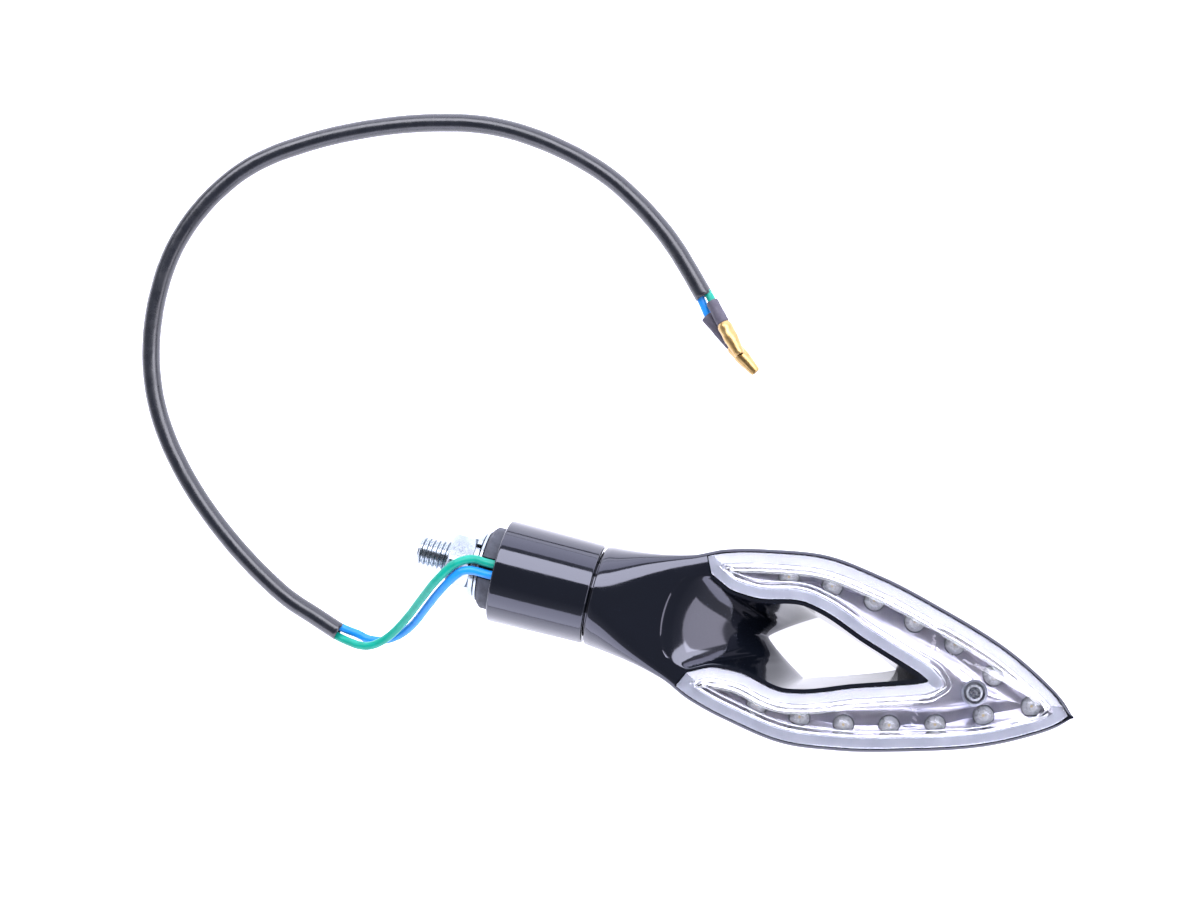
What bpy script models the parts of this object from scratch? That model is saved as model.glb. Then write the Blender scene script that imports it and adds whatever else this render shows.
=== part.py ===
"""Arrow-shaped LED turn signal for a motorcycle, with its stud, stem, lamp and leads.

The lamp lies on its back: +X runs from the mounting stud to the tip of the arrow, +Y is
across the lamp and +Z is out through the lens. z = 0 is the surface that it lies on.
Lengths are in metres. The shape is worked out in the lamp's own frame, whose X starts at
the parting line between stem and head and whose Z starts on the stem's axis.
"""
import math

import bmesh
import bpy
import numpy as np
from mathutils import Matrix, Vector

MM = 0.001

# ---- fits --------------------------------------------------------------------
GAP = 0.3 * MM                  # clearance between pieces that seat on each other

# ---- head --------------------------------------------------------------------
HEAD_LENGTH = 125.0 * MM        # parting line to tip
HEAD_HALF_WIDTH = 24.5 * MM     # at the widest part of the arms
HEAD_WALL = 2.0 * MM
SEAT_HEIGHT = 8.2 * MM          # lens seat above the axis, at the arms' roots
SEAT_FALL = 6.25 * MM           # how far the seat bends down by the tip
BACK_DEPTH = 13.5 * MM          # axis to the lines that the head rests on
GROOVE_DEPTH = 2.2 * MM         # hollow along the middle of the back
GROOVE_HALF_WIDTH = 13.0 * MM
ACROSS = HEAD_HALF_WIDTH / 24.5  # one mm across an arm, which grows with the head's width
RIM = 0.8 * ACROSS              # housing edge that shows round the lens
LEDGE = 2.3 * ACROSS            # ledge under the lens flange
HOLE_TAPER = 1.6                # how hollow the scoop at the front of the opening is

# ---- lens --------------------------------------------------------------------
LENS_FLANGE = 1.4 * MM          # thickness of the flat edge
LENS_FLANGE_WIDTH = 2.7 * ACROSS
LENS_CROWN = 3.6 * MM           # crown above the seat
LENS_WALL = 1.5 * MM
LENS_DOME = 0.8 * MM            # extra rise along the middle of the crown
BOSS_RADIUS = 3.3 * ACROSS      # round button on the crown
POST_RADIUS = 2.5 * ACROSS      # slimmer post under it, which the screw holds
BOSS_AT = 0.796                 # along the head, as a share of its length

# ---- lamp internals ----------------------------------------------------------
LED_RADIUS = 2.5 * ACROSS
LED_COLLAR_RIM = 0.4 * MM
LED_COLLAR_HEIGHT = 1.0 * MM
LED_HEIGHT = 5.2 * MM
LEDS_PER_ARM = 6                # and one more at the tip
BOARD_DROP = 5.8 * MM           # lens seat to the board's face
BOARD_THICKNESS = 1.6 * MM
REFLECTOR_THICKNESS = 0.8 * MM
REFLECTOR_DROP = 0.6 * MM       # reflector's edge below the seat
RESISTOR_RADIUS = 1.2 * MM
RESISTOR_LENGTH = 6.3 * MM
DIODE_RADIUS = 1.35 * MM
DIODE_LENGTH = 5.2 * MM
SCREW_RADIUS = 1.45 * MM
SCREW_HEAD_RADIUS = 2.6 * MM
SCREW_HEAD_HEIGHT = 1.8 * MM

# ---- stem, plug and stud -----------------------------------------------------
STEM_LENGTH = 25.5 * MM
STEM_BASE_RADIUS = 13.5 * MM
STEM_TAPER = 0.47 * MM          # how much narrower the stem is where it meets the head
STEM_WALL = 2.45 * MM           # at its base, round the rubber plug
PARTING_GAP = 0.7 * MM
SPIGOT_LENGTH = 7.0 * MM        # neck end that plugs into the stem
SPIGOT_WALL = 3.2 * MM
PLUG_LENGTH = 12.4 * MM
PLUG_PROUD = 3.9 * MM           # how far the rubber stands out of the stem
PLUG_CHAMFER = 1.0 * MM
STUD_RADIUS = 4.0 * MM          # M8
THREAD_PITCH = 1.25 * MM
THREAD_DEPTH = 0.65 * MM
STUD_REACH = 18.1 * MM          # plug face to stud tip
STUD_FLANGE_RADIUS = 6.5 * MM
STUD_FLANGE_THICKNESS = 2.3 * MM
NUT_FLATS = 13.0 * MM
NUT_HEIGHT = 6.5 * MM
WASHER_MARGIN = 1.55 * MM       # rubber that shows round the flat washer
SPRING_WASHER_STEP = 0.6 * MM   # how much smaller the spring washer is
SPRING_WASHER_THICKNESS = 1.4 * MM
SPRING_WASHER_SPLIT = 1.2 * MM
FLAT_WASHER_THICKNESS = 0.7 * MM

# ---- leads -------------------------------------------------------------------
WIRE_DIAMETER = 2.2 * MM
TILT_ROOM = 0.8 * MM            # between the leads and the stem, so the stem can tilt on its rubber
SHEATH_DIAMETER = 5.0 * MM
SHRINK_DIAMETER = 3.4 * MM
BULLET_DIAMETER = 3.9 * MM
BULLET_TIP_DIAMETER = 2.6 * MM
BULLET_LENGTH = 9.6 * MM
BULLET_BORE = 1.6 * MM

# ---- outlines, as shares of the head's length and half width -------------------
OUTER_EDGE = ((0.11, 0.588), (0.18, 0.665), (0.24, 0.80), (0.32, 0.906), (0.45, 1.0),
              (0.56, 0.93), (0.70, 0.755), (0.83, 0.543), (0.93, 0.29), (0.975, 0.135), (1.0, 0.0))
INNER_EDGE = ((0.225, 0.49), (0.28, 0.365), (0.325, 0.352), (0.42, 0.437), (0.455, 0.408),
              (0.56, 0.216), (0.63, 0.10), (0.69, 0.0))
LED_ROW = ((0.21, 0.60), (0.378, 0.682), (0.46, 0.698), (0.557, 0.66), (0.645, 0.551),
           (0.74, 0.416), (0.828, 0.2), (0.913, 0.0))
BACK_LINE = ((0.0, 0.965), (0.10, 0.985), (0.24, 1.0), (0.36, 1.0), (0.60, 0.933),
             (0.80, 0.80), (0.93, 0.62), (1.0, 0.33))
ARM_ROOT = 0.20                 # where the arms begin, along the head
BOWL_FRONT = 0.176              # front of the scooped bowl
WINDOW = ((0.362, 0.0), (0.452, 0.327), (0.63, 0.0))    # opening at the back of the head
LED_FIRST = 0.378
LED_LAST = 0.913

# ---- worked out from the sizes above -----------------------------------------
REACH = STUD_REACH + PLUG_PROUD + STEM_LENGTH
PARTING_X = (REACH - HEAD_LENGTH) / 2       # puts the frame's origin under the middle
AXIS_Z = max(BACK_DEPTH, STEM_BASE_RADIUS)
STEM_BASE = -STEM_LENGTH
PLUG_FACE = STEM_BASE - PLUG_PROUD
STUD_TIP = PLUG_FACE - STUD_REACH
NECK_RADIUS = STEM_BASE_RADIUS - STEM_TAPER
STEM_BORE = STEM_BASE_RADIUS - STEM_WALL
PLUG_RADIUS = STEM_BORE - GAP
SPIGOT_RADIUS = STEM_BORE - GAP
FLAT_WASHER_RADIUS = PLUG_RADIUS - WASHER_MARGIN
SPRING_WASHER_RADIUS = FLAT_WASHER_RADIUS - SPRING_WASHER_STEP
LED_COLLAR_RADIUS = LED_RADIUS + LED_COLLAR_RIM
WIRE_RADIUS = WIRE_DIAMETER / 2
LEAD_SIDE = WIRE_RADIUS + GAP               # each lead's distance from the middle plane
LEAD_LIFT = FLAT_WASHER_RADIUS + GAP + WIRE_RADIUS
LENS_INSET = RIM + GAP
POCKET_INSET = RIM + LEDGE
REFLECTOR_INSET = POCKET_INSET + GAP
BOARD_INSET = REFLECTOR_INSET + 2.2 * ACROSS


# ---- small tools ---------------------------------------------------------------
def curve_through(knots):
    """A smooth function through the knots that never swings past them."""
    x = np.array([k[0] for k in knots])
    y = np.array([k[1] for k in knots])
    step = np.diff(x)
    rise = np.diff(y) / step
    slope = np.zeros(len(x))
    slope[0], slope[-1] = rise[0], rise[-1]
    for i in range(1, len(x) - 1):
        if rise[i - 1] * rise[i] > 0:
            w1 = 2 * step[i] + step[i - 1]
            w2 = step[i] + 2 * step[i - 1]
            slope[i] = (w1 + w2) / (w1 / rise[i - 1] + w2 / rise[i])

    def value(at):
        at = min(max(at, x[0]), x[-1])
        i = min(int(np.searchsorted(x, at, side="right")) - 1, len(step) - 1)
        t = (at - x[i]) / step[i]
        return float((1 + 2 * t) * (1 - t) ** 2 * y[i] + t * (1 - t) ** 2 * step[i] * slope[i]
                     + t * t * (3 - 2 * t) * y[i + 1] + t * t * (t - 1) * step[i] * slope[i + 1])
    return value


def smooth_step(at, start, end):
    t = min(max((at - start) / (end - start), 0.0), 1.0)
    return t * t * (3 - 2 * t)


outer_share = curve_through(((0.0, NECK_RADIUS / HEAD_HALF_WIDTH),) + OUTER_EDGE)
inner_share = curve_through(INNER_EDGE)
led_share = curve_through(LED_ROW)
back_share = curve_through(BACK_LINE)


def half_width(x):
    return outer_share(x / HEAD_LENGTH) * HEAD_HALF_WIDTH


def inner_edge(x):
    return inner_share(x / HEAD_LENGTH) * HEAD_HALF_WIDTH


def led_line(x):
    return led_share(x / HEAD_LENGTH) * HEAD_HALF_WIDTH


def seat(x):
    """Height of the lens seat, level at the arms' roots and bending down from there."""
    run = (x / HEAD_LENGTH - ARM_ROOT) / (1 - ARM_ROOT)
    return SEAT_HEIGHT - SEAT_FALL * run * run


def rim_top(x):
    return seat(x) + LENS_FLANGE


DECK_START = ARM_ROOT * HEAD_LENGTH
DECK_END = 0.94 * HEAD_LENGTH
DECK_SLOPE = (seat(DECK_END) - seat(DECK_START)) / (DECK_END - DECK_START)


def deck(x):
    """Face of the flat board, which follows the chord of the bent seat."""
    return seat(DECK_START) + DECK_SLOPE * (x - DECK_START) - BOARD_DROP


# ---- making objects ------------------------------------------------------------
def material(name, colour, roughness, metallic=0.0):
    found = bpy.data.materials.get(name)
    if found:
        return found
    made = bpy.data.materials.new(name)
    made.use_nodes = True
    shader = made.node_tree.nodes["Principled BSDF"]
    shader.inputs["Base Color"].default_value = (*colour, 1.0)
    shader.inputs["Roughness"].default_value = roughness
    shader.inputs["Metallic"].default_value = metallic
    return made


def to_world(point):
    """Lamp frame to the part's own frame."""
    return Vector((point[0] + PARTING_X, point[1], point[2] + AXIS_Z))


def finish(name, bm, look, origin=(0.0, 0.0, 0.0), rotation=None, cutter=False):
    """Turn a bmesh made in the lamp frame about its own origin into an object."""
    bmesh.ops.remove_doubles(bm, verts=bm.verts, dist=1e-7)
    bmesh.ops.recalc_face_normals(bm, faces=bm.faces)
    mesh = bpy.data.meshes.new(name)
    bm.to_mesh(mesh)
    bm.free()
    mesh.shade_smooth()
    mesh.set_sharp_from_angle(angle=math.radians(35))
    return place(name, mesh, look, origin, rotation, cutter)


def place(name, mesh, look, origin=(0.0, 0.0, 0.0), rotation=None, cutter=False):
    obj = bpy.data.objects.new(name, mesh)
    bpy.context.scene.collection.objects.link(obj)
    obj.location = to_world(origin)
    if rotation:
        obj.rotation_euler = rotation
    if cutter:
        obj.hide_render = True
        obj.display_type = "WIRE"
    elif look and not mesh.materials:
        mesh.materials.append(look)
    return obj


def boolean(target, tool, operation="DIFFERENCE"):
    step = target.modifiers.new(tool.name, "BOOLEAN")
    step.object = tool
    step.operation = operation


def loft(loops, bm=None):
    """Closed body through loops of equal point counts, capped at both ends."""
    bm = bm or bmesh.new()
    rows = [[bm.verts.new(p) for p in loop] for loop in loops]
    count = len(rows[0])
    for low, high in zip(rows, rows[1:]):
        for i in range(count):
            j = (i + 1) % count
            bm.faces.new((low[i], low[j], high[j], high[i]))
    bm.faces.new(rows[0])
    bm.faces.new(rows[-1])
    return bm


def turned(profile, segments, axis="X"):
    """Solid of revolution; profile is (along, radius) from end to end, radius 0 allowed at the ends."""
    bm = bmesh.new()
    loops = []
    for along, radius in profile:
        ring = []
        for i in range(segments):
            a = 2 * math.pi * i / segments
            side, lift = radius * math.cos(a), radius * math.sin(a)
            ring.append((along, side, lift) if axis == "X" else (side, lift, along))
        loops.append(ring)
    return loft(loops, bm)


def tube(profile, segments):
    """Turned ring about X; profile is a closed outline of (along, radius)."""
    bm = bmesh.new()
    rings = []
    for along, radius in profile:
        rings.append([bm.verts.new((along, radius * math.cos(2 * math.pi * i / segments),
                                    radius * math.sin(2 * math.pi * i / segments)))
                      for i in range(segments)])
    for k, ring in enumerate(rings):
        after = rings[(k + 1) % len(rings)]
        for i in range(segments):
            j = (i + 1) % segments
            bm.faces.new((ring[i], ring[j], after[j], after[i]))
    return bm


def block(low, high):
    bm = bmesh.new()
    bmesh.ops.create_cube(bm, size=1.0)
    for v in bm.verts:
        v.co = Vector([low[k] + (v.co[k] + 0.5) * (high[k] - low[k]) for k in range(3)])
    return bm


# ---- the chevron that lens, reflector, board and pocket share -------------------
def edge_slope(edge, x):
    d = 0.1 * MM
    x = min(x, HEAD_LENGTH - d)
    return (edge(x + d) - edge(x - d)) / (2 * d)


def chevron_row(t, inset):
    """Ends of one line across an arm; t runs from the arm's root to the tip."""
    ax = HEAD_LENGTH * (ARM_ROOT + (1 - ARM_ROOT) * t)
    start, notch = INNER_EDGE[0][0], INNER_EDGE[-1][0]
    bx = HEAD_LENGTH * (start + (notch - start) * math.sin(t * math.pi / 2))
    a = Vector((ax, half_width(ax)))
    b = Vector((bx, inner_edge(bx)))
    if t >= 1.0:
        a.y = b.y = 0.0
    across = (b - a).normalized()
    slope_a, slope_b = edge_slope(half_width, ax), edge_slope(inner_edge, bx)
    into_a = Vector((slope_a, -1.0)).normalized()
    into_b = Vector((-slope_b, 1.0)).normalized()
    a_in = a + across * (inset / max(across.dot(into_a), 0.5))
    b_in = b - across * (inset / max(-across.dot(into_b), 0.75))
    return a_in, b_in


def led_share_across(a, b):
    """Where the LED row crosses a line from a to b, as a share of the line."""
    low, high = 0.0, 1.0
    for _ in range(30):
        mid = (low + high) / 2
        p = a.lerp(b, mid)
        if p.y > led_line(p.x) and p.x < LED_LAST * HEAD_LENGTH:
            low = mid
        elif p.x >= LED_LAST * HEAD_LENGTH:
            low = mid
        else:
            high = mid
    return low


def chevron_grid(inset, rows, columns, crease=False):
    """Grid of plan positions over both arms; columns are shares of the way across."""
    first = inset / (HEAD_LENGTH * (1 - ARM_ROOT))
    half = []
    for k in range(rows):
        t = first + (1 - first) * k / (rows - 1)
        a, b = chevron_row(t, inset)
        middle = led_share_across(a, b) if crease else 0.5
        line = []
        for u in columns:
            share = 2 * u * middle if u <= 0.5 else middle + (2 * u - 1) * (1 - middle)
            line.append(a.lerp(b, share))
        half.append(line)
    mirrored = [[Vector((p.x, -p.y)) for p in line] for line in reversed(half[:-1])]
    return half + mirrored


def chevron_solid(layers, rows, columns, crease=False):
    """Closed body over the chevron: each layer is (inset, height function), first and last capped."""
    bm = bmesh.new()
    grids = []
    edges = []
    for k, (inset, height) in enumerate(layers):
        plan = chevron_grid(inset, rows, columns, crease)
        n, m = len(plan), len(columns)
        border = [(i, 0) for i in range(n)] + [(n - 1, j) for j in range(1, m)]
        border += [(i, m - 1) for i in range(n - 2, -1, -1)] + [(0, j) for j in range(m - 2, 0, -1)]
        whole = k in (0, len(layers) - 1)
        wanted = [(i, j) for i in range(n) for j in range(m)] if whole else border
        verts = {ij: bm.verts.new((plan[ij[0]][ij[1]].x, plan[ij[0]][ij[1]].y,
                                   height(plan[ij[0]][ij[1]].x, plan[ij[0]][ij[1]].y)))
                 for ij in wanted}
        edges.append([verts[ij] for ij in border])
        if whole:
            grids.append((verts, n, m))
    for low, high in zip(edges, edges[1:]):
        for i in range(len(low)):
            j = (i + 1) % len(low)
            bm.faces.new((low[i], low[j], high[j], high[i]))
    for verts, n, m in grids:
        for i in range(n - 1):
            for j in range(m - 1):
                bm.faces.new((verts[i, j], verts[i + 1, j], verts[i + 1, j + 1], verts[i, j + 1]))
    return bm


# ---- the head's outer shape ------------------------------------------------------
def section_sizes(x):
    """Centre height, top, back, and the squareness of the top and bottom at one place."""
    blend = smooth_step(x, 0.0, ARM_ROOT * HEAD_LENGTH)
    top = (1 - blend) * NECK_RADIUS + blend * rim_top(x)
    back = back_share(x / HEAD_LENGTH) * BACK_DEPTH
    centre = blend * (rim_top(x) - 3.5 * MM)
    return centre, top, back, 2 + 3 * blend, 2 + blend, GROOVE_DEPTH * blend


def under(x, y):
    """Height of the head's back at a place, with the hollow along its middle."""
    centre, _, back, _, power, groove = section_sizes(x)
    width = max(half_width(x), 0.3 * MM)
    depth = centre + back

    def raw(side):
        share = min(abs(side) / width, 1.0)
        hollow = max(1 - (side / GROOVE_HALF_WIDTH) ** 2, 0.0) ** 2 * groove
        return -depth * (1 - share ** power) ** (1 / power) + hollow * (1 - share)
    lowest = min(raw(width * k / 24) for k in range(25))
    return centre + raw(y) * depth / -lowest


def head_section(x, points):
    """Outline of the head at x, as a closed loop."""
    centre, top, _, top_power, low_power, _ = section_sizes(x)
    width = max(half_width(x), 0.3 * MM)
    loop = []
    for k in range(points):
        a = 2 * math.pi * k / points
        c, s = math.cos(a), math.sin(a)
        power = top_power if s >= 0 else low_power
        y = width * math.copysign(abs(c) ** (2 / power), c)
        z = centre + (top - centre) * abs(s) ** (2 / power) if s >= 0 else under(x, y)
        loop.append((x, y, z))
    return loop


def head_body():
    """Solid outer shape of the head, with the spigot that enters the stem."""
    points = 40
    spigot = [[(x, SPIGOT_RADIUS * math.cos(2 * math.pi * k / points),
                SPIGOT_RADIUS * math.sin(2 * math.pi * k / points)) for k in range(points)]
              for x in (-SPIGOT_LENGTH, PARTING_GAP / 2)]
    stations = [PARTING_GAP / 2] + [HEAD_LENGTH * k / 28 for k in range(2, 28)]
    stations += [HEAD_LENGTH * 0.985, HEAD_LENGTH]
    return loft(spigot + [head_section(x, points) for x in stations])


def opening_cutter():
    """The scooped bowl between the arms and the tapered opening behind it."""
    front = BOWL_FRONT * HEAD_LENGTH
    start = INNER_EDGE[0][0] * HEAD_LENGTH
    side = inner_edge(start)
    notch = INNER_EDGE[-1][0] * HEAD_LENGTH
    upper = [(start - (start - front) * math.cos(a), side * math.sin(a))
             for a in (math.pi / 2 * k / 5 for k in range(5))]
    upper += [(x, inner_edge(x)) for x in np.linspace(start, notch, 15)]
    window = [(x * HEAD_LENGTH, y * HEAD_HALF_WIDTH) for x, y in WINDOW]
    shift = curve_through(((front, window[0][0]), (start, window[0][0] + 3.2 * MM),
                           (0.37 * HEAD_LENGTH, 0.43 * HEAD_LENGTH), (0.43 * HEAD_LENGTH, window[1][0]),
                           (notch, window[2][0])))

    def kite(x):
        if x < window[1][0]:
            share = (x - window[0][0]) / (window[1][0] - window[0][0])
        else:
            share = (window[2][0] - x) / (window[2][0] - window[1][0])
        return window[1][1] * share ** 0.85

    low, high = -BACK_DEPTH - 3 * MM, SEAT_HEIGHT + LENS_CROWN + 3 * MM
    floor, brim = -BACK_DEPTH + 1.5 * MM, rim_top(front)
    loops = []
    for z in (low, floor, floor * 0.55, floor * 0.1, brim * 0.35, brim * 0.7, brim, high):
        rise = min(max((z - floor) / (brim - floor), 0.0), 1.0)
        loop = []
        for x, y in upper:
            hollow = HOLE_TAPER + (1 - HOLE_TAPER) * smooth_step(x, start, 0.5 * HEAD_LENGTH)
            share = rise ** hollow
            below = shift(x)
            loop.append((below + (x - below) * share, kite(below) * (1 - share) + y * share, z))
        loops.append(loop + [(x, -y, z) for x, y, z in reversed(loop[1:-1])])
    return loft(loops)


# ---- the pieces ------------------------------------------------------------------
ABS = material("glossy_black_abs", (0.012, 0.013, 0.018), 0.18)
RUBBER = material("matte_rubber", (0.035, 0.038, 0.045), 0.75)
ZINC = material("bright_zinc", (0.82, 0.83, 0.85), 0.25, 1.0)
CLEAR = material("clear_lens", (0.86, 0.88, 0.92), 0.05)
CHROME = material("chromed_reflector", (0.80, 0.78, 0.80), 0.08, 1.0)
BOARD = material("green_board", (0.02, 0.18, 0.08), 0.5)
RESIN = material("clear_resin", (0.90, 0.92, 0.95), 0.05)
CERAMIC = material("component_body", (0.45, 0.38, 0.28), 0.5)
BLACK_EPOXY = material("black_epoxy", (0.02, 0.02, 0.02), 0.4)
STEEL = material("screw_steel", (0.6, 0.6, 0.62), 0.3, 1.0)
GREEN_PVC = material("green_insulation", (0.0, 0.42, 0.28), 0.35)
BLUE_PVC = material("blue_insulation", (0.03, 0.28, 0.75), 0.35)
SHEATH_PVC = material("black_sheath", (0.015, 0.016, 0.02), 0.25)
SHRINK = material("grey_heat_shrink", (0.14, 0.13, 0.16), 0.8)
BRASS = material("brass", (0.85, 0.62, 0.28), 0.25, 1.0)

# columns across an arm, finer near the edges than in the middle
COLUMNS = (0.0, 0.25, 0.5, 0.75, 1.0)
ROWS = 17


def head_housing():
    housing = finish("head_housing", head_body(), ABS)
    cuts = [("opening_cut", opening_cutter())]
    cuts.append(("lens_rebate_cut", chevron_solid(
        [(RIM, lambda x, y: seat(x) - GAP), (RIM, lambda x, y: rim_top(x) + 6 * MM)], ROWS, COLUMNS)))
    cuts.append(("lamp_pocket_cut", chevron_solid(
        [(POCKET_INSET, lambda x, y: under(x, y) + HEAD_WALL), (POCKET_INSET, lambda x, y: rim_top(x) + 5 * MM)],
        ROWS, COLUMNS)))
    bore = SPIGOT_RADIUS - SPIGOT_WALL
    bore_end = 0.136 * HEAD_LENGTH
    cuts.append(("neck_bore_cut", turned([(-SPIGOT_LENGTH - MM, bore), (bore_end - 3 * MM, bore),
                                          (bore_end, bore * 0.6)], 20)))
    for cut_name, bm in cuts:
        boolean(housing, finish(cut_name, bm, None, cutter=True))
    start = Vector((0.064 * HEAD_LENGTH, 3 * MM, 0.0))
    end = Vector((0.28 * HEAD_LENGTH, 0.635 * HEAD_HALF_WIDTH, -1.5 * MM))
    for side, label in ((1, "left"), (-1, "right")):
        run = Vector((end.x - start.x, side * (end.y - start.y), end.z - start.z))
        bm = turned([(0.0, 3 * MM), (run.length, 3 * MM)], 12)
        turn = Vector((1, 0, 0)).rotation_difference(run)
        bmesh.ops.transform(bm, matrix=turn.to_matrix().to_4x4(), verts=bm.verts)
        cut = finish(f"{label}_wire_way_cut", bm, None, origin=(start.x, side * start.y, start.z), cutter=True)
        boolean(housing, cut)

    # pillar that the lens screw pulls against, with its hole and counterbore
    at = BOSS_AT * HEAD_LENGTH
    floor = under(at, 0.0)
    shelf = deck(at) - BOARD_THICKNESS - GAP - POST_RADIUS * abs(DECK_SLOPE)
    pillar = turned([(floor + HEAD_WALL / 2, BOSS_RADIUS), (shelf, POST_RADIUS)], 20, "Z")
    boolean(housing, finish("screw_pillar", pillar, None, origin=(at, 0, 0), cutter=True), "UNION")
    hole = turned([(floor - 2 * MM, SCREW_HEAD_RADIUS + GAP),
                   (floor + SCREW_HEAD_HEIGHT + GAP, SCREW_HEAD_RADIUS + GAP),
                   (floor + SCREW_HEAD_HEIGHT + GAP, SCREW_RADIUS + GAP),
                   (shelf + MM, SCREW_RADIUS + GAP)], 20, "Z")
    boolean(housing, finish("screw_hole_cut", hole, None, origin=(at, 0, 0), cutter=True))
    return housing


def dome(x, y):
    """Rise of the lens crown towards the middle of each arm."""
    width = max((half_width(x) - max(inner_edge(x), 0.0)) / 2, 4 * MM)
    middle = (half_width(x) + inner_edge(x)) / 2 if x < INNER_EDGE[-1][0] * HEAD_LENGTH else 0.0
    off = min(abs(abs(y) - middle) / width, 1.0)
    return LENS_DOME * (1 - off * off)


def front_lens():
    inside = LENS_INSET + LENS_FLANGE_WIDTH + LENS_WALL
    ceiling = LENS_CROWN - LENS_WALL
    layers = [(inside + 0.6 * MM, lambda x, y: seat(x) + ceiling + dome(x, y)),
              (inside, lambda x, y: seat(x)),
              (LENS_INSET, lambda x, y: seat(x)),
              (LENS_INSET, lambda x, y: seat(x) + LENS_FLANGE),
              (LENS_INSET + LENS_FLANGE_WIDTH, lambda x, y: seat(x) + LENS_FLANGE),
              (LENS_INSET + LENS_FLANGE_WIDTH + 0.4 * MM, lambda x, y: seat(x) + LENS_CROWN - 0.6 * MM),
              (LENS_INSET + LENS_FLANGE_WIDTH + 1.2 * MM, lambda x, y: seat(x) + LENS_CROWN + dome(x, y))]
    lens = finish("front_lens", chevron_solid(layers, ROWS, COLUMNS), CLEAR)
    at = BOSS_AT * HEAD_LENGTH
    foot = deck(at) + GAP + POST_RADIUS * abs(DECK_SLOPE)
    top = seat(at) + LENS_CROWN - LENS_WALL / 2
    step = seat(at) + MM
    boss = turned([(foot, POST_RADIUS), (step, POST_RADIUS), (step, BOSS_RADIUS), (top, BOSS_RADIUS)], 20, "Z")
    boolean(lens, finish("boss_post", boss, None, origin=(at, 0, 0), cutter=True), "UNION")
    pilot = turned([(foot - MM, SCREW_RADIUS + GAP), (seat(at) + MM, SCREW_RADIUS + GAP)], 16, "Z")
    boolean(lens, finish("boss_pilot_cut", pilot, None, origin=(at, 0, 0), cutter=True))
    return lens


def trough(x, y):
    """Face of the reflector: high at both edges, with a crease along the LED row."""
    middle = led_line(x) if x < LED_LAST * HEAD_LENGTH else 0.0
    high = seat(x) - REFLECTOR_DROP
    low = deck(x) + LED_COLLAR_HEIGHT + GAP + REFLECTOR_THICKNESS + GAP
    off = abs(abs(y) - middle)
    return low + (high - low) * min(off / (5.5 * ACROSS), 1.0)


def led_places():
    xs = [HEAD_LENGTH * (LED_FIRST + (LED_LAST - LED_FIRST) * k / LEDS_PER_ARM) for k in range(LEDS_PER_ARM)]
    places = [(x, led_line(x)) for x in xs]
    return places + [(LED_LAST * HEAD_LENGTH, 0.0)] + [(x, -y) for x, y in reversed(places)]


def tilted(x, y, lift):
    """A point at a height over the board's face."""
    return (x - lift * DECK_SLOPE, y, deck(x) + lift)


DECK_TURN = (0.0, -math.atan(DECK_SLOPE), 0.0)


def reflector():
    layers = [(REFLECTOR_INSET, lambda x, y: trough(x, y) - REFLECTOR_THICKNESS),
              (REFLECTOR_INSET, trough)]
    piece = finish("reflector", chevron_solid(layers, ROWS, COLUMNS, crease=True), CHROME)
    for k, (x, y) in enumerate(led_places()):
        bm = turned([(0.0, LED_RADIUS + GAP), (8 * MM, LED_RADIUS + GAP)], 12, "Z")
        cut = finish(f"led_hole_cut_{k + 1}", bm, None, origin=tilted(x, y, LED_COLLAR_HEIGHT / 2),
                     rotation=DECK_TURN, cutter=True)
        boolean(piece, cut)
    at = BOSS_AT * HEAD_LENGTH
    bm = turned([(deck(at) - MM, POST_RADIUS + GAP), (seat(at) + 3 * MM, POST_RADIUS + GAP)], 20, "Z")
    boolean(piece, finish("boss_hole_cut", bm, None, origin=(at, 0, 0), cutter=True))
    return piece


def led_board():
    layers = [(BOARD_INSET, lambda x, y: deck(x) - BOARD_THICKNESS), (BOARD_INSET, lambda x, y: deck(x))]
    board = finish("led_board", chevron_solid(layers, ROWS, (0.0, 1.0)), BOARD)
    at = BOSS_AT * HEAD_LENGTH
    bm = turned([(deck(at) - 4 * MM, SCREW_RADIUS + GAP), (deck(at) + 2 * MM, SCREW_RADIUS + GAP)], 16, "Z")
    boolean(board, finish("board_hole_cut", bm, None, origin=(at, 0, 0), cutter=True))
    return board


def leds():
    shoulder = LED_HEIGHT - 0.7 * LED_RADIUS
    profile = [(0.0, LED_COLLAR_RADIUS), (LED_COLLAR_HEIGHT, LED_COLLAR_RADIUS),
               (LED_COLLAR_HEIGHT, LED_RADIUS), (shoulder, LED_RADIUS)]
    for a in (30, 60, 84):
        profile.append((shoulder + 0.7 * LED_RADIUS * math.sin(math.radians(a)),
                        LED_RADIUS * math.cos(math.radians(a))))
    first = None
    for k, (x, y) in enumerate(led_places()):
        if first is None:
            first = finish(f"led_{k + 1:02d}", turned(profile, 12, "Z"), RESIN, tilted(x, y, GAP), DECK_TURN)
        else:
            place(f"led_{k + 1:02d}", first.data, RESIN, tilted(x, y, GAP), DECK_TURN)


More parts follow.
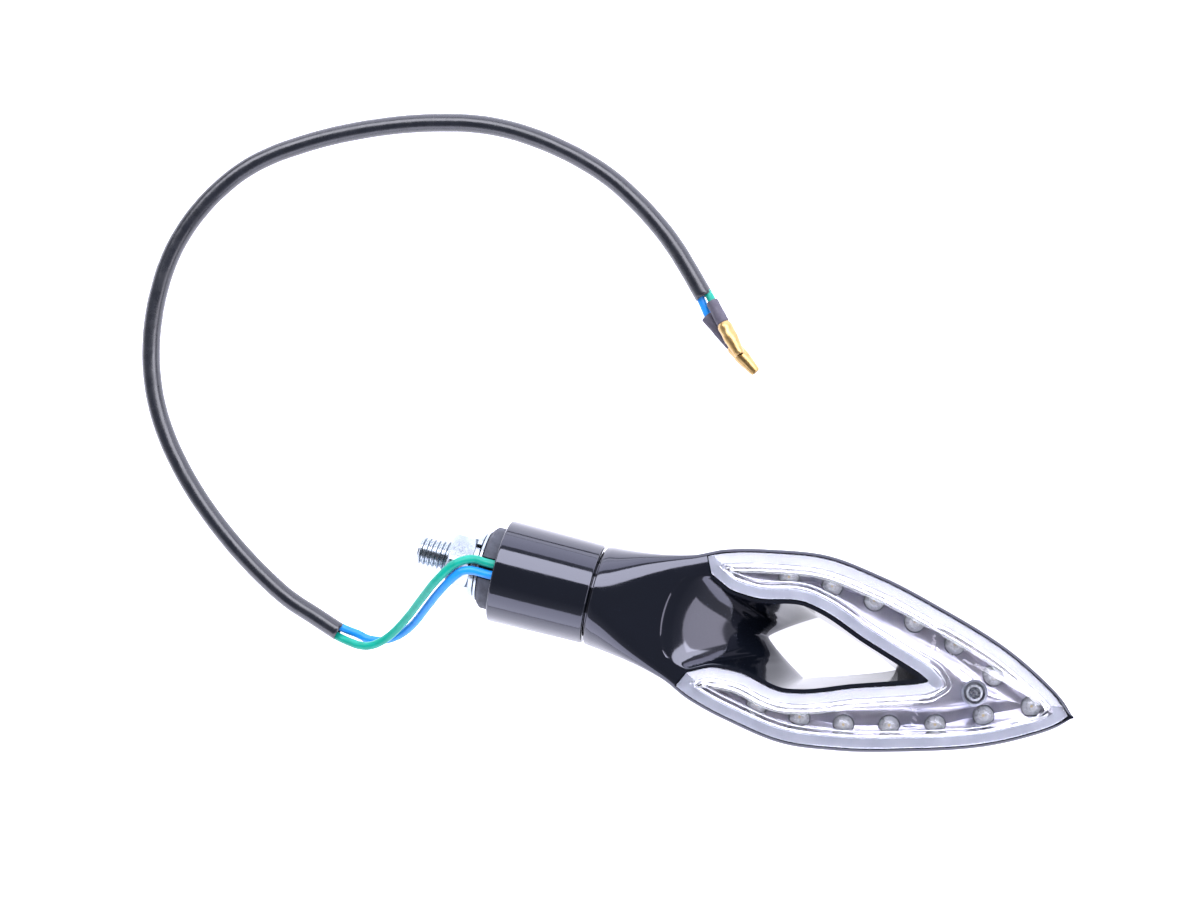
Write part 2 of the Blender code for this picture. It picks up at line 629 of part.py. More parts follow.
def components():
    """Resistors and the diode on the back of the board."""
    for name, share, side, radius, length, look in (
            ("resistor_left", 0.47, 1, RESISTOR_RADIUS, RESISTOR_LENGTH, CERAMIC),
            ("resistor_right", 0.47, -1, RESISTOR_RADIUS, RESISTOR_LENGTH, CERAMIC),
            ("resistor_front", 0.62, 1, RESISTOR_RADIUS, RESISTOR_LENGTH, CERAMIC),
            ("diode", 0.62, -1, DIODE_RADIUS, DIODE_LENGTH, BLACK_EPOXY)):
        x = share * HEAD_LENGTH
        profile = [(-length / 2, radius * 0.8), (-length * 0.4, radius), (length * 0.4, radius),
                   (length / 2, radius * 0.8)]
        finish(name, turned(profile, 12), look, tilted(x, side * led_line(x), -BOARD_THICKNESS - GAP - radius),
               DECK_TURN)


def lens_screw():
    at = BOSS_AT * HEAD_LENGTH
    floor = under(at, 0.0)
    top = seat(at)
    profile = [(floor, SCREW_HEAD_RADIUS * 0.85), (floor + 0.5 * MM, SCREW_HEAD_RADIUS),
               (floor + SCREW_HEAD_HEIGHT, SCREW_HEAD_RADIUS), (floor + SCREW_HEAD_HEIGHT, SCREW_RADIUS),
               (top - MM, SCREW_RADIUS), (top, SCREW_RADIUS * 0.4)]
    finish("lens_screw", turned(profile, 16, "Z"), STEEL, (at, 0, 0))


def stem_sleeve():
    base, end = STEM_BASE, -PARTING_GAP / 2
    chamfer = 0.5 * MM
    outline = [(base, STEM_BORE), (base, STEM_BASE_RADIUS - chamfer), (base + chamfer, STEM_BASE_RADIUS),
               (end - chamfer, NECK_RADIUS), (end, NECK_RADIUS - chamfer / 2), (end, STEM_BORE)]
    sleeve = finish("stem_sleeve", tube(outline, 40), ABS)
    side = LEAD_SIDE + WIRE_RADIUS + TILT_ROOM
    bm = block((base - MM, -side, 0.0),
               (PLUG_FACE + PLUG_LENGTH + 4 * MM, side, LEAD_LIFT + WIRE_RADIUS + TILT_ROOM))
    boolean(sleeve, finish("lead_groove_cut", bm, None, cutter=True))


def base_plug():
    inner = PLUG_FACE + PLUG_LENGTH
    recess = inner - STUD_FLANGE_THICKNESS - MM - GAP
    outline = [(PLUG_FACE, STUD_RADIUS + GAP), (PLUG_FACE, PLUG_RADIUS - PLUG_CHAMFER),
               (PLUG_FACE + PLUG_CHAMFER, PLUG_RADIUS), (inner, PLUG_RADIUS),
               (inner, STUD_FLANGE_RADIUS + GAP), (recess, STUD_FLANGE_RADIUS + GAP),
               (recess, STUD_RADIUS + GAP)]
    plug = finish("base_plug", tube(outline, 36), RUBBER)
    side = LEAD_SIDE + WIRE_RADIUS + GAP
    bm = block((PLUG_FACE - MM, -side, LEAD_LIFT - WIRE_RADIUS - GAP), (inner + MM, side, PLUG_RADIUS + 2 * MM))
    boolean(plug, finish("lead_notch_cut", bm, None, cutter=True))
    return plug


def mounting_stud():
    """Threaded stud; the thread is a ridge whose crest climbs one pitch a turn."""
    segments, slices = 16, 5
    inner = PLUG_FACE + PLUG_LENGTH
    flange_end = inner - MM
    flange_start = flange_end - STUD_FLANGE_THICKNESS
    threaded = PLUG_FACE - STUD_TIP + 1.5 * MM
    steps = round(threaded / THREAD_PITCH * slices)
    loops = [[(STUD_TIP, (STUD_RADIUS - THREAD_DEPTH) * 0.92 * math.cos(2 * math.pi * i / segments),
               (STUD_RADIUS - THREAD_DEPTH) * 0.92 * math.sin(2 * math.pi * i / segments))
              for i in range(segments)]]
    for k in range(1, steps + 1):
        along = STUD_TIP + threaded * k / steps
        ring = []
        for i in range(segments):
            phase = ((along - STUD_TIP) / THREAD_PITCH + i / segments) % 1.0
            height = min(max(2.2 * abs(phase - 0.5) * 2 - 0.6, 0.0), 1.0)
            radius = STUD_RADIUS - THREAD_DEPTH * (1 - height)
            radius = min(radius, (STUD_RADIUS - THREAD_DEPTH) * 0.92 + (along - STUD_TIP))
            a = 2 * math.pi * i / segments
            ring.append((along, radius * math.cos(a), radius * math.sin(a)))
        loops.append(ring)
    last = STUD_TIP + threaded
    for along, radius in ((last + 0.4 * MM, STUD_RADIUS), (flange_start, STUD_RADIUS),
                          (flange_start, STUD_FLANGE_RADIUS), (flange_end, STUD_FLANGE_RADIUS)):
        loops.append([(along, radius * math.cos(2 * math.pi * i / segments),
                       radius * math.sin(2 * math.pi * i / segments)) for i in range(segments)])
    finish("mounting_stud", loft(loops), ZINC)


FLAT_WASHER_FACE = PLUG_FACE - GAP - FLAT_WASHER_THICKNESS
SPRING_WASHER_FACE = FLAT_WASHER_FACE - GAP - SPRING_WASHER_THICKNESS
NUT_FACE = SPRING_WASHER_FACE - GAP - NUT_HEIGHT


def washers():
    bore = STUD_RADIUS + GAP
    low, high = FLAT_WASHER_FACE, FLAT_WASHER_FACE + FLAT_WASHER_THICKNESS
    finish("flat_washer", tube([(low, bore), (low, FLAT_WASHER_RADIUS), (high, FLAT_WASHER_RADIUS),
                                (high, bore)], 32), ZINC)
    low, high = SPRING_WASHER_FACE, SPRING_WASHER_FACE + SPRING_WASHER_THICKNESS
    edge = 0.25 * MM
    outline = [(low, bore), (low, SPRING_WASHER_RADIUS - edge), (low + edge, SPRING_WASHER_RADIUS),
               (high - edge, SPRING_WASHER_RADIUS), (high, SPRING_WASHER_RADIUS - edge), (high, bore)]
    ring = finish("spring_washer", tube(outline, 32), ZINC)
    half = SPRING_WASHER_SPLIT / 2
    bm = block((low - MM, -half, 0.0), (high + MM, half, SPRING_WASHER_RADIUS + MM))
    bmesh.ops.rotate(bm, verts=bm.verts, matrix=Matrix.Rotation(math.radians(-35), 3, "X"))
    boolean(ring, finish("washer_split_cut", bm, None, cutter=True))


def hex_nut():
    corner = NUT_FLATS / 2 / math.cos(math.pi / 6)
    bevel = 0.9 * MM
    low, high = NUT_FACE, NUT_FACE + NUT_HEIGHT
    bm = turned([(low, corner), (high, corner)], 6)
    nut = finish("hex_nut", bm, ZINC)
    rounded = turned([(low - MM, corner - 2.6 * MM), (low, corner - 1.1 * MM), (low + bevel, corner + 0.1 * MM),
                      (high - bevel, corner + 0.1 * MM), (high, corner - 1.1 * MM),
                      (high + MM, corner - 2.6 * MM)], 30)
    boolean(nut, finish("nut_corner_guide", rounded, None, cutter=True), "INTERSECT")
    bore = turned([(low - MM, STUD_RADIUS + GAP / 2), (high + MM, STUD_RADIUS + GAP / 2)], 24)
    boolean(nut, finish("nut_bore_cut", bore, None, cutter=True))


# ---- leads -------------------------------------------------------------------------
def smooth_route(route, spacing):
    """Evenly spaced points on a smooth curve through the route's points."""
    pts = [Vector(p) for p in route]
    pts = [pts[0] * 2 - pts[1]] + pts + [pts[-1] * 2 - pts[-2]]
    fine = []
    for a, b, c, d in zip(pts, pts[1:], pts[2:], pts[3:]):
        for k in range(24):
            t = k / 24
            fine.append(0.5 * (2 * b + (c - a) * t + (2 * a - 5 * b + 4 * c - d) * t * t
                               + (3 * b - a - 3 * c + d) * t ** 3))
    fine.append(pts[-2])
    run = [0.0]
    for p, q in zip(fine, fine[1:]):
        run.append(run[-1] + (q - p).length)
    count = max(round(run[-1] / spacing), 1)
    out = []
    for k in range(count + 1):
        at = run[-1] * k / count
        i = min(int(np.searchsorted(run, at, side="right")) - 1, len(fine) - 2)
        out.append(fine[i].lerp(fine[i + 1], (at - run[i]) / max(run[i + 1] - run[i], 1e-9)))
    return out


def cord(name, route, diameter, look, sides=2, spacing=2.5):
    """A plain round cord along a route given in the part's own frame."""
    curve = bpy.data.curves.new(name, "CURVE")
    curve.dimensions = "3D"
    curve.bevel_depth = diameter / 2
    curve.bevel_resolution = sides
    curve.use_fill_caps = True
    points = smooth_route(route, diameter * spacing)
    spline = curve.splines.new("POLY")
    spline.points.add(len(points) - 1)
    for point, place_at in zip(spline.points, points):
        point.co = (*place_at, 1.0)
    curve.materials.append(look)
    obj = bpy.data.objects.new(name, curve)
    bpy.context.scene.collection.objects.link(obj)
    return obj


def along_x(start, end, profile, segments, bore=None):
    """A turned piece from start towards end; bore is an optional (radius, depth) at its far end."""
    bm = turned(profile, segments)
    length = profile[-1][0]
    if bore:
        radius, depth = bore
        face = [f for f in bm.faces if len(f.verts) == segments and all(v.co.x > length - 1e-6 for v in f.verts)]
        bmesh.ops.inset_region(bm, faces=face, thickness=profile[-1][1] - radius, use_even_offset=True)
        moved = bmesh.ops.extrude_discrete_faces(bm, faces=face)["faces"]
        for v in moved[0].verts:
            v.co.x -= depth
    turn = Vector((1, 0, 0)).rotation_difference(Vector(end) - Vector(start))
    bmesh.ops.transform(bm, matrix=turn.to_matrix().to_4x4(), verts=bm.verts)
    return bm


EXIT = to_world((PLUG_FACE, 0.0, LEAD_LIFT))
LEAD_START = to_world((PLUG_FACE + PLUG_LENGTH, 0.0, LEAD_LIFT))
# routes in mm, from the point on the surface under the plug's face
SHEATH_ROUTE = ((-35.8, -26.9, 2.6), (-41.6, -24.9, 2.6), (-50.6, -22, 2.6), (-62.5, -15.8, 2.6),
                (-74.8, -7.4, 2.6), (-85.8, 2.2, 2.6), (-95.5, 13.7, 2.6), (-102.2, 26.5, 2.6),
                (-105.8, 42, 2.6), (-105.4, 59, 2.6), (-100.2, 74, 2.6), (-90.8, 87, 2.6),
                (-78.2, 96.2, 2.6), (-63.3, 103.7, 2.6), (-46.8, 109.5, 2.6), (-29.3, 112.8, 2.6),
                (-11.8, 111.6, 2.6), (5.2, 106.6, 2.6), (20.4, 97.6, 2.6), (29.1, 90, 2.6),
                (36.8, 82.1, 2.6))
GREEN_ROUTE = ((-6.2, -0.8, 24.9), (-10.2, -6.2, 23), (-13.6, -11.8, 17.8), (-17, -17.6, 12),
               (-20.8, -23.4, 8), (-24.6, -27.2, 6.4), (-28.8, -28.9, 5.2), (-35.6, -28.4, 2.6))
BLUE_ROUTE = ((-4.8, -2.9, 24.2), (-7.4, -6.3, 22.4), (-10.2, -10.4, 18.3), (-12.7, -14.4, 13.7),
              (-15.4, -18.9, 9.3), (-18.6, -22.8, 5.6), (-22.6, -25.6, 3.4), (-27, -26.8, 2.4),
              (-30.8, -26.2, 2.2), (-34.8, -25.5, 2.6))
GREEN_TAIL = ((38.4, 82.3, 3.4), (39.3, 81.1, 4.2), (50, 69.2, 7.2))
BLUE_TAIL = ((36.6, 80.6, 2.3), (38.6, 77.2, 2.1), (54.8, 66, 2.1))


def laid(route):
    """A route's points in the part's own frame."""
    return [Vector((PARTING_X + PLUG_FACE + x * MM, y * MM, z * MM)) for x, y, z in route]


def outer_leads():
    for name, side, route, look in (("lead_green", 1, GREEN_ROUTE, GREEN_PVC),
                                    ("lead_blue", -1, BLUE_ROUTE, BLUE_PVC)):
        offset = Vector((0, side * LEAD_SIDE, 0))
        start = [LEAD_START + offset, EXIT + offset, EXIT + offset - Vector((2.4 * MM, 0, 0))]
        cord(name, start + laid(route), WIRE_DIAMETER, look, spacing=2.0)
    cord("cable_sheath", laid(SHEATH_ROUTE), SHEATH_DIAMETER, SHEATH_PVC, sides=3)


def inner_leads():
    deck_at = deck(0.3 * HEAD_LENGTH) - BOARD_THICKNESS - GAP - WIRE_RADIUS
    for name, side, look in (("inner_lead_green", 1, GREEN_PVC), ("inner_lead_blue", -1, BLUE_PVC)):
        start = LEAD_START + Vector((2 * GAP, side * LEAD_SIDE, 0))
        run = [(PLUG_FACE + PLUG_LENGTH + 5 * MM, LEAD_SIDE, LEAD_LIFT - 2 * MM),
               (-SPIGOT_LENGTH, 1.6 * MM, 3.5 * MM), (0.016 * HEAD_LENGTH, 1.8 * MM, 0.6 * MM),
               (0.08 * HEAD_LENGTH, 3.6 * MM, 0.0), (0.136 * HEAD_LENGTH, 0.30 * HEAD_HALF_WIDTH, -0.3 * MM),
               (0.20 * HEAD_LENGTH, 0.45 * HEAD_HALF_WIDTH, -0.9 * MM),
               (0.26 * HEAD_LENGTH, 0.60 * HEAD_HALF_WIDTH, -1.2 * MM),
               (0.31 * HEAD_LENGTH, 0.65 * HEAD_HALF_WIDTH, deck_at)]
        cord(name, [start] + [to_world((x, side * y, z)) for x, y, z in run], WIRE_DIAMETER, look)


def terminals():
    """Lead tails, heat-shrink sleeves and hollow bullet terminals beyond the sheath.

    Each tail gives the lead's start at the sheath, the sleeve's start and the bullet's tip.
    """
    for name, tail, look in (("green", GREEN_TAIL, GREEN_PVC), ("blue", BLUE_TAIL, BLUE_PVC)):
        mouth, sleeve, tip = laid(tail)
        along = (tip - sleeve).normalized()
        joint = tip - along * BULLET_LENGTH
        cord(f"tail_{name}", [mouth, sleeve - along * 2 * GAP], WIRE_DIAMETER, look, spacing=1.5)
        origin = sleeve - to_world((0, 0, 0))
        radius = SHRINK_DIAMETER / 2
        length = (joint - sleeve).length - GAP
        finish(f"heat_shrink_{name}", along_x(sleeve, joint, [(0, radius * 0.92), (0.5 * MM, radius),
                                                               (length, radius)], 14), SHRINK, origin)
        origin = joint - to_world((0, 0, 0))
        radius, end = BULLET_DIAMETER / 2, BULLET_TIP_DIAMETER / 2
        profile = [(0, radius * 0.85), (0.9 * MM, radius), (BULLET_LENGTH * 0.45, radius), (BULLET_LENGTH, end)]
        finish(f"bullet_{name}", along_x(joint, tip, profile, 14, (BULLET_BORE / 2, 4 * MM)), BRASS, origin)


def build():
    for obj in list(bpy.data.objects):
        bpy.data.objects.remove(obj, do_unlink=True)
    head_housing()
    front_lens()
    reflector()
    led_board()
    leds()
    components()
    lens_screw()
    stem_sleeve()
    base_plug()
    mounting_stud()
    washers()
    hex_nut()
    inner_leads()
    outer_leads()
    terminals()


build()
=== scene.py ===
import math

import bmesh
import bpy
import numpy as np
from mathutils import Matrix, Vector


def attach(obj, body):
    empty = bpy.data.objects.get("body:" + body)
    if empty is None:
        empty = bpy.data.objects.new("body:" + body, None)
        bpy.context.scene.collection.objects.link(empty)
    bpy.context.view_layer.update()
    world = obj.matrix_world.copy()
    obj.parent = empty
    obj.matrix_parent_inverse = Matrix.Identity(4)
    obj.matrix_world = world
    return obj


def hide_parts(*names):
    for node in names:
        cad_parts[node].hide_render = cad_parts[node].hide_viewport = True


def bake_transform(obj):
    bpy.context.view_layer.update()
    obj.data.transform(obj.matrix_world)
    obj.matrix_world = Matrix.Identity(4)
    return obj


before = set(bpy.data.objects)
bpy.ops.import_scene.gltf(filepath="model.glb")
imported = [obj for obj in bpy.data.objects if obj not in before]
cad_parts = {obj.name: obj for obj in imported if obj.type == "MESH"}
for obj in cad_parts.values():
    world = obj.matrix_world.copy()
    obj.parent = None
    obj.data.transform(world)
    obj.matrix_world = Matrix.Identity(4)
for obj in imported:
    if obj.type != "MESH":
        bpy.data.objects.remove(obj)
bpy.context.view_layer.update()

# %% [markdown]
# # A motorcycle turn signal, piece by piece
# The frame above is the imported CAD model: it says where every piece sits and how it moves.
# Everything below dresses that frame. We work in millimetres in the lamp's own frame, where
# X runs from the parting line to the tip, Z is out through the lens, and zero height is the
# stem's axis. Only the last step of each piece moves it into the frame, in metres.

# %% Sizes of the real signal, in millimetres
MM = 0.001
GAP = 0.3
HEAD_LENGTH = 125.0
HEAD_HALF_WIDTH = 24.5
HEAD_WALL = 2.0
SEAT_HEIGHT = 8.2
SEAT_FALL = 6.25
BACK_DEPTH = 13.5
GROOVE_DEPTH = 2.2
GROOVE_HALF_WIDTH = 13.0
RIM = 0.8
LEDGE = 2.3
LENS_FLANGE = 1.4
LENS_FLANGE_WIDTH = 2.7
LENS_CROWN = 3.6
LENS_WALL = 1.5
LENS_DOME = 0.8
BOSS_RADIUS = 3.3
POST_RADIUS = 2.5
LED_RADIUS = 2.5
LED_COLLAR_RADIUS = 2.9
LED_COLLAR_HEIGHT = 1.0
LED_HEIGHT = 5.2
LEDS_PER_ARM = 6
BOARD_DROP = 5.8
BOARD_THICKNESS = 1.6
REFLECTOR_THICKNESS = 0.8
REFLECTOR_DROP = 0.6
SCREW_RADIUS = 1.45
SCREW_HEAD_RADIUS = 2.6
SCREW_HEAD_HEIGHT = 1.8
STEM_BASE = -25.5
STEM_BASE_RADIUS = 13.5
NECK_RADIUS = 13.03
STEM_BORE = 11.05
PARTING_GAP = 0.7
SPIGOT_LENGTH = 7.0
SPIGOT_WALL = 3.2
PLUG_RADIUS = 10.75
PLUG_LENGTH = 12.4
PLUG_FACE = -29.4
PLUG_CHAMFER = 1.0
STUD_RADIUS = 4.0
THREAD_PITCH = 1.25
THREAD_DEPTH = 0.65
STUD_TIP = -47.5
STUD_FLANGE_RADIUS = 6.5
STUD_FLANGE_THICKNESS = 2.3
NUT_FLATS = 13.0
NUT_HEIGHT = 6.5
SPRING_WASHER_RADIUS = 8.6
SPRING_WASHER_THICKNESS = 1.4
SPRING_WASHER_SPLIT = 1.2
FLAT_WASHER_RADIUS = 9.2
FLAT_WASHER_THICKNESS = 0.7
WIRE_RADIUS = 1.1
LEAD_SIDE = 1.4
LEAD_LIFT = 10.6
TILT_ROOM = 0.8
PARTING_X = -38.75
AXIS_Z = 13.5
SHEATH_RADIUS = 2.5

# Outlines, as (share of the head's length, share of its half width)
OUTER_EDGE = ((0.11, 0.588), (0.18, 0.665), (0.24, 0.80), (0.32, 0.906), (0.45, 1.0),
              (0.56, 0.93), (0.70, 0.755), (0.83, 0.543), (0.93, 0.29), (0.975, 0.135), (1.0, 0.0))
INNER_EDGE = ((0.225, 0.49), (0.28, 0.365), (0.325, 0.352), (0.42, 0.437), (0.455, 0.408),
              (0.56, 0.216), (0.63, 0.10), (0.69, 0.0))
LED_ROW = ((0.21, 0.60), (0.378, 0.682), (0.46, 0.698), (0.557, 0.66), (0.645, 0.551),
           (0.74, 0.416), (0.828, 0.2), (0.913, 0.0))
BACK_LINE = ((0.0, 0.965), (0.10, 0.985), (0.24, 1.0), (0.36, 1.0), (0.60, 0.933),
             (0.80, 0.80), (0.93, 0.62), (1.0, 0.33))
WINDOW = ((0.362, 0.0), (0.452, 0.327), (0.63, 0.0))
ARM_ROOT, BOWL_FRONT, BOSS_AT, LED_FIRST, LED_LAST = 0.20, 0.176, 0.796, 0.378, 0.913

# %% [markdown]
# ## Camera
# The signal lies on its back and is looked down on, a little from the tip's side, through a
# short telephoto. A long lens keeps the head from looking larger than the leads behind it.
# Its place and direction were fitted by a program to known points of the lamp.

# %% Camera over the table
def to_frame(point):
    """Lamp frame in mm to the shared frame in metres."""
    return Vector((point[0] + PARTING_X, point[1], point[2] + AXIS_Z)) * MM


lens_of_camera = bpy.data.cameras.new("camera")
lens_of_camera.lens = 81.5
lens_of_camera.sensor_width = 36.0
lens_of_camera.clip_start = 0.05
camera = bpy.data.objects.new("camera", lens_of_camera)
bpy.context.scene.collection.objects.link(camera)
looking = Vector((-0.1293, 0.008, -0.9916)).normalized()
right = looking.cross(Vector((-0.2399, 0.97, 0.0391))).normalized()
upward = right.cross(looking)
camera.matrix_world = Matrix.Translation(Vector((43.95, 30.8, 708.9)) * MM) @ Matrix(
    (right, upward, -looking)).transposed().to_4x4()
bpy.context.scene.camera = camera
bpy.context.scene.view_settings.view_transform = "Standard"
print("camera", round(camera.location.z, 3), "m above the table")

# %% [markdown]
# ## Cords
# Two thin leads leave the rubber plug, drop to the table and slip into a black sheath, which
# lies in one open loop. A curve with a round bevel is the right tool, because its own line is
# the cord's true length. The routes are the CAD ones, in mm from the spot under the plug's face.
# They follow a line that a measuring program gave, thinned and adjusted.

# %% Routes
SHEATH_ROUTE = ((-35.8, -26.9, 2.6), (-41.6, -24.9, 2.6), (-50.6, -22, 2.6), (-62.5, -15.8, 2.6),
                (-74.8, -7.4, 2.6), (-85.8, 2.2, 2.6), (-95.5, 13.7, 2.6), (-102.2, 26.5, 2.6),
                (-105.8, 42, 2.6), (-105.4, 59, 2.6), (-100.2, 74, 2.6), (-90.8, 87, 2.6),
                (-78.2, 96.2, 2.6), (-63.3, 103.7, 2.6), (-46.8, 109.5, 2.6), (-29.3, 112.8, 2.6),
                (-11.8, 111.6, 2.6), (5.2, 106.6, 2.6), (20.4, 97.6, 2.6), (29.1, 90, 2.6),
                (36.8, 82.1, 2.6))
GREEN_ROUTE = ((-6.2, -0.8, 24.9), (-10.2, -6.2, 23), (-13.6, -11.8, 17.8), (-17, -17.6, 12),
               (-20.8, -23.4, 8), (-24.6, -27.2, 6.4), (-28.8, -28.75, 5.2), (-35.6, -28.2, 2.6),
               (-39.4, -26.7, 2.6))
BLUE_ROUTE = ((-4.8, -2.9, 24.2), (-7.4, -6.3, 22.4), (-10.2, -10.4, 18.3), (-12.7, -14.4, 13.7),
              (-15.4, -18.9, 9.3), (-18.6, -22.8, 5.6), (-22.6, -25.6, 3.4), (-27, -26.8, 2.4),
              (-30.8, -26.2, 2.2), (-34.8, -25.7, 2.6), (-38.8, -24.7, 2.6))
GREEN_TAIL = ((38.4, 82.3, 3.4), (39.3, 81.1, 4.2), (50, 69.2, 7.2))
BLUE_TAIL = ((36.6, 80.6, 2.3), (38.6, 77.2, 2.1), (54.8, 66, 2.1))


def laid(route):
    """Route points in the shared frame, in metres."""
    return [Vector((PARTING_X + PLUG_FACE + x, y, z)) * MM for x, y, z in route]


def smooth_route(route, count):
    """Evenly spaced points on a smooth curve through the route's points."""
    pts = [Vector(p) for p in route]
    pts = [pts[0] * 2 - pts[1]] + pts + [pts[-1] * 2 - pts[-2]]
    fine = []
    for a, b, c, d in zip(pts, pts[1:], pts[2:], pts[3:]):
        for k in range(24):
            t = k / 24
            fine.append(0.5 * (2 * b + (c - a) * t + (2 * a - 5 * b + 4 * c - d) * t * t
                               + (3 * b - a - 3 * c + d) * t ** 3))
    fine.append(pts[-2])
    run = np.concatenate(([0.0], np.cumsum([(q - p).length for p, q in zip(fine, fine[1:])])))
    axes = [[p[k] for p in fine] for k in range(3)]
    steps = np.linspace(0.0, run[-1], count)
    return [Vector([float(np.interp(at, run, axis)) for axis in axes]) for at in steps], float(run[-1])


def cord_curve(name, route, radius, points):
    """A round cord on one open spline; returns the object and its length in metres."""
    curve = bpy.data.curves.new(name, "CURVE")
    curve.dimensions = "3D"
    curve.resolution_u = 10
    curve.bevel_depth = 1.0         # one metre, which each knot's own radius scales down
    curve.bevel_resolution = 6
    curve.use_fill_caps = True
    places, length = smooth_route(route, points)
    spline = curve.splines.new("BEZIER")
    spline.bezier_points.add(len(places) - 1)
    for knot, place in zip(spline.bezier_points, places):
        knot.co = place
        knot.radius = radius * MM
        knot.handle_left_type = knot.handle_right_type = "AUTO"
    made = bpy.data.objects.new(name, curve)
    bpy.context.scene.collection.objects.link(made)
    print(name, "is", round(length * 1000), "mm long")
    return made, length


# %% Leads and sheath
EXIT = to_frame((PLUG_FACE, 0.0, LEAD_LIFT))
LEAD_START = to_frame((PLUG_FACE + PLUG_LENGTH, 0.0, LEAD_LIFT))
leads = {}
for colour, side, route in (("green", 1, GREEN_ROUTE), ("blue", -1, BLUE_ROUTE)):
    offset = Vector((0, side * LEAD_SIDE * MM, 0))
    start = [LEAD_START + offset, EXIT + offset, EXIT + offset - Vector((2.4 * MM, 0, 0))]
    leads[colour], length = cord_curve(f"outer_lead_{colour}", start + laid(route), WIRE_RADIUS, 27)
    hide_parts(f"lead_{colour}")
    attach(leads[colour], "mount")

sheath, sheath_length = cord_curve("lead_sheath", laid(SHEATH_ROUTE), SHEATH_RADIUS - 0.03, 38)
sheath.data.use_fill_caps = False
for k, knot in enumerate(sheath.data.splines[0].bezier_points):
    knot.radius *= 1.0 - 0.014 * (0.5 + 0.5 * math.sin(2.3 * k) * math.cos(0.9 * k))
wall = sheath.modifiers.new("wall", "SOLIDIFY")
wall.thickness = 0.5 * MM
wall.offset = -1.0
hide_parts("cable_sheath")
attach(sheath, "mount")

# %% [markdown]
# ## Small tools
# Most pieces here are either turned on a lathe or pressed in a two-part mould. A lathe part is
# a profile spun round its axis. A moulded part is a sheet whose points are set by a rule, so
# one helper makes a grid and moves its points, and closed bodies come from merging such sheets.

# %% Helpers for shapes
def spun(profile, steps, axis="X"):
    """Lathe part from (along, radius) points; a closed profile makes a ring."""
    bm = bmesh.new()
    ends = [bm.verts.new((a, r, 0.0) if axis == "X" else (r, 0.0, a)) for a, r in profile]
    edges = [bm.edges.new(pair) for pair in zip(ends, ends[1:])]
    bmesh.ops.spin(bm, geom=ends + edges, cent=(0, 0, 0), axis=(1, 0, 0) if axis == "X" else (0, 0, 1),
                   angle=2 * math.pi, steps=steps, use_merge=True)
    return bm


def sheet(bm, rows, columns, at):
    """A grid of rows by columns of points, each moved to at(row, column)."""
    made = bmesh.ops.create_grid(bm, x_segments=rows - 1, y_segments=columns - 1, size=1.0)["verts"]
    for v in made:
        i = round((v.co.x + 1) / 2 * (rows - 1))
        j = round((v.co.y + 1) / 2 * (columns - 1))
        v.co = at(i, j)
    return bm


def skin(rings):
    """Closed body through rings of equal point counts, with flat ends."""
    bm = bmesh.new()
    count = len(rings[0])
    sheet(bm, len(rings), count + 1, lambda i, j: rings[i][j % count])
    bmesh.ops.remove_doubles(bm, verts=bm.verts, dist=1e-5)
    bmesh.ops.holes_fill(bm, edges=[e for e in bm.edges if e.is_boundary], sides=0)
    return bm


def close_up(bm):
    """Merge seams and turn every face outwards."""
    bmesh.ops.remove_doubles(bm, verts=bm.verts, dist=1e-4)
    bmesh.ops.recalc_face_normals(bm, faces=bm.faces)
    return bm


def block(low, high):
    bm = bmesh.new()
    bmesh.ops.create_cube(bm, size=1.0)
    size = [b - a for a, b in zip(low, high)]
    bmesh.ops.scale(bm, vec=size, verts=bm.verts)
    bmesh.ops.translate(bm, vec=[(a + b) / 2 for a, b in zip(low, high)], verts=bm.verts)
    return bm


def move(bm, by, turn=None):
    """Turn a bmesh about its own origin, then move it."""
    if turn is not None:
        bmesh.ops.transform(bm, matrix=turn.to_4x4(), verts=bm.verts)
    bmesh.ops.translate(bm, vec=Vector(by), verts=bm.verts)
    return bm


def join(parts):
    """Several bmeshes as one."""
    whole = bmesh.new()
    for part in parts:
        held = bpy.data.meshes.new("held")
        part.to_mesh(held)
        part.free()
        whole.from_mesh(held)
        bpy.data.meshes.remove(held)
    return whole


def carved(bm, steps):
    """Booleans in order: each step is ("DIFFERENCE" or "UNION" or "INTERSECT", bmesh)."""
    objects = []
    for k, part in enumerate([bm] + [tool for _, tool in steps]):
        mesh = bpy.data.meshes.new(f"carving_{k}")
        close_up(part).to_mesh(mesh)
        part.free()
        made = bpy.data.objects.new(f"carving_{k}", mesh)
        bpy.context.scene.collection.objects.link(made)
        objects.append(made)
    for (kind, _), tool in zip(steps, objects[1:]):
        step = objects[0].modifiers.new(kind, "BOOLEAN")
        step.operation, step.object, step.solver = kind, tool, "EXACT"
    seen = objects[0].evaluated_get(bpy.context.evaluated_depsgraph_get())
    out = bmesh.new()
    out.from_mesh(seen.to_mesh())
    seen.to_mesh_clear()
    for made in objects:
        mesh = made.data
        bpy.data.objects.remove(made)
        bpy.data.meshes.remove(mesh)
    bmesh.ops.remove_doubles(out, verts=out.verts, dist=1e-3)
    return out


def soften(bm, width, segments=2, over=35.0):
    """Round the edges that are sharper than an angle."""
    edges = [e for e in bm.edges if e.is_manifold and math.degrees(e.calc_face_angle(0.0)) > over]
    bmesh.ops.bevel(bm, geom=edges, offset=width, segments=segments, profile=0.5, affect="EDGES",
                    material=-1, clamp_overlap=True)
    return bm


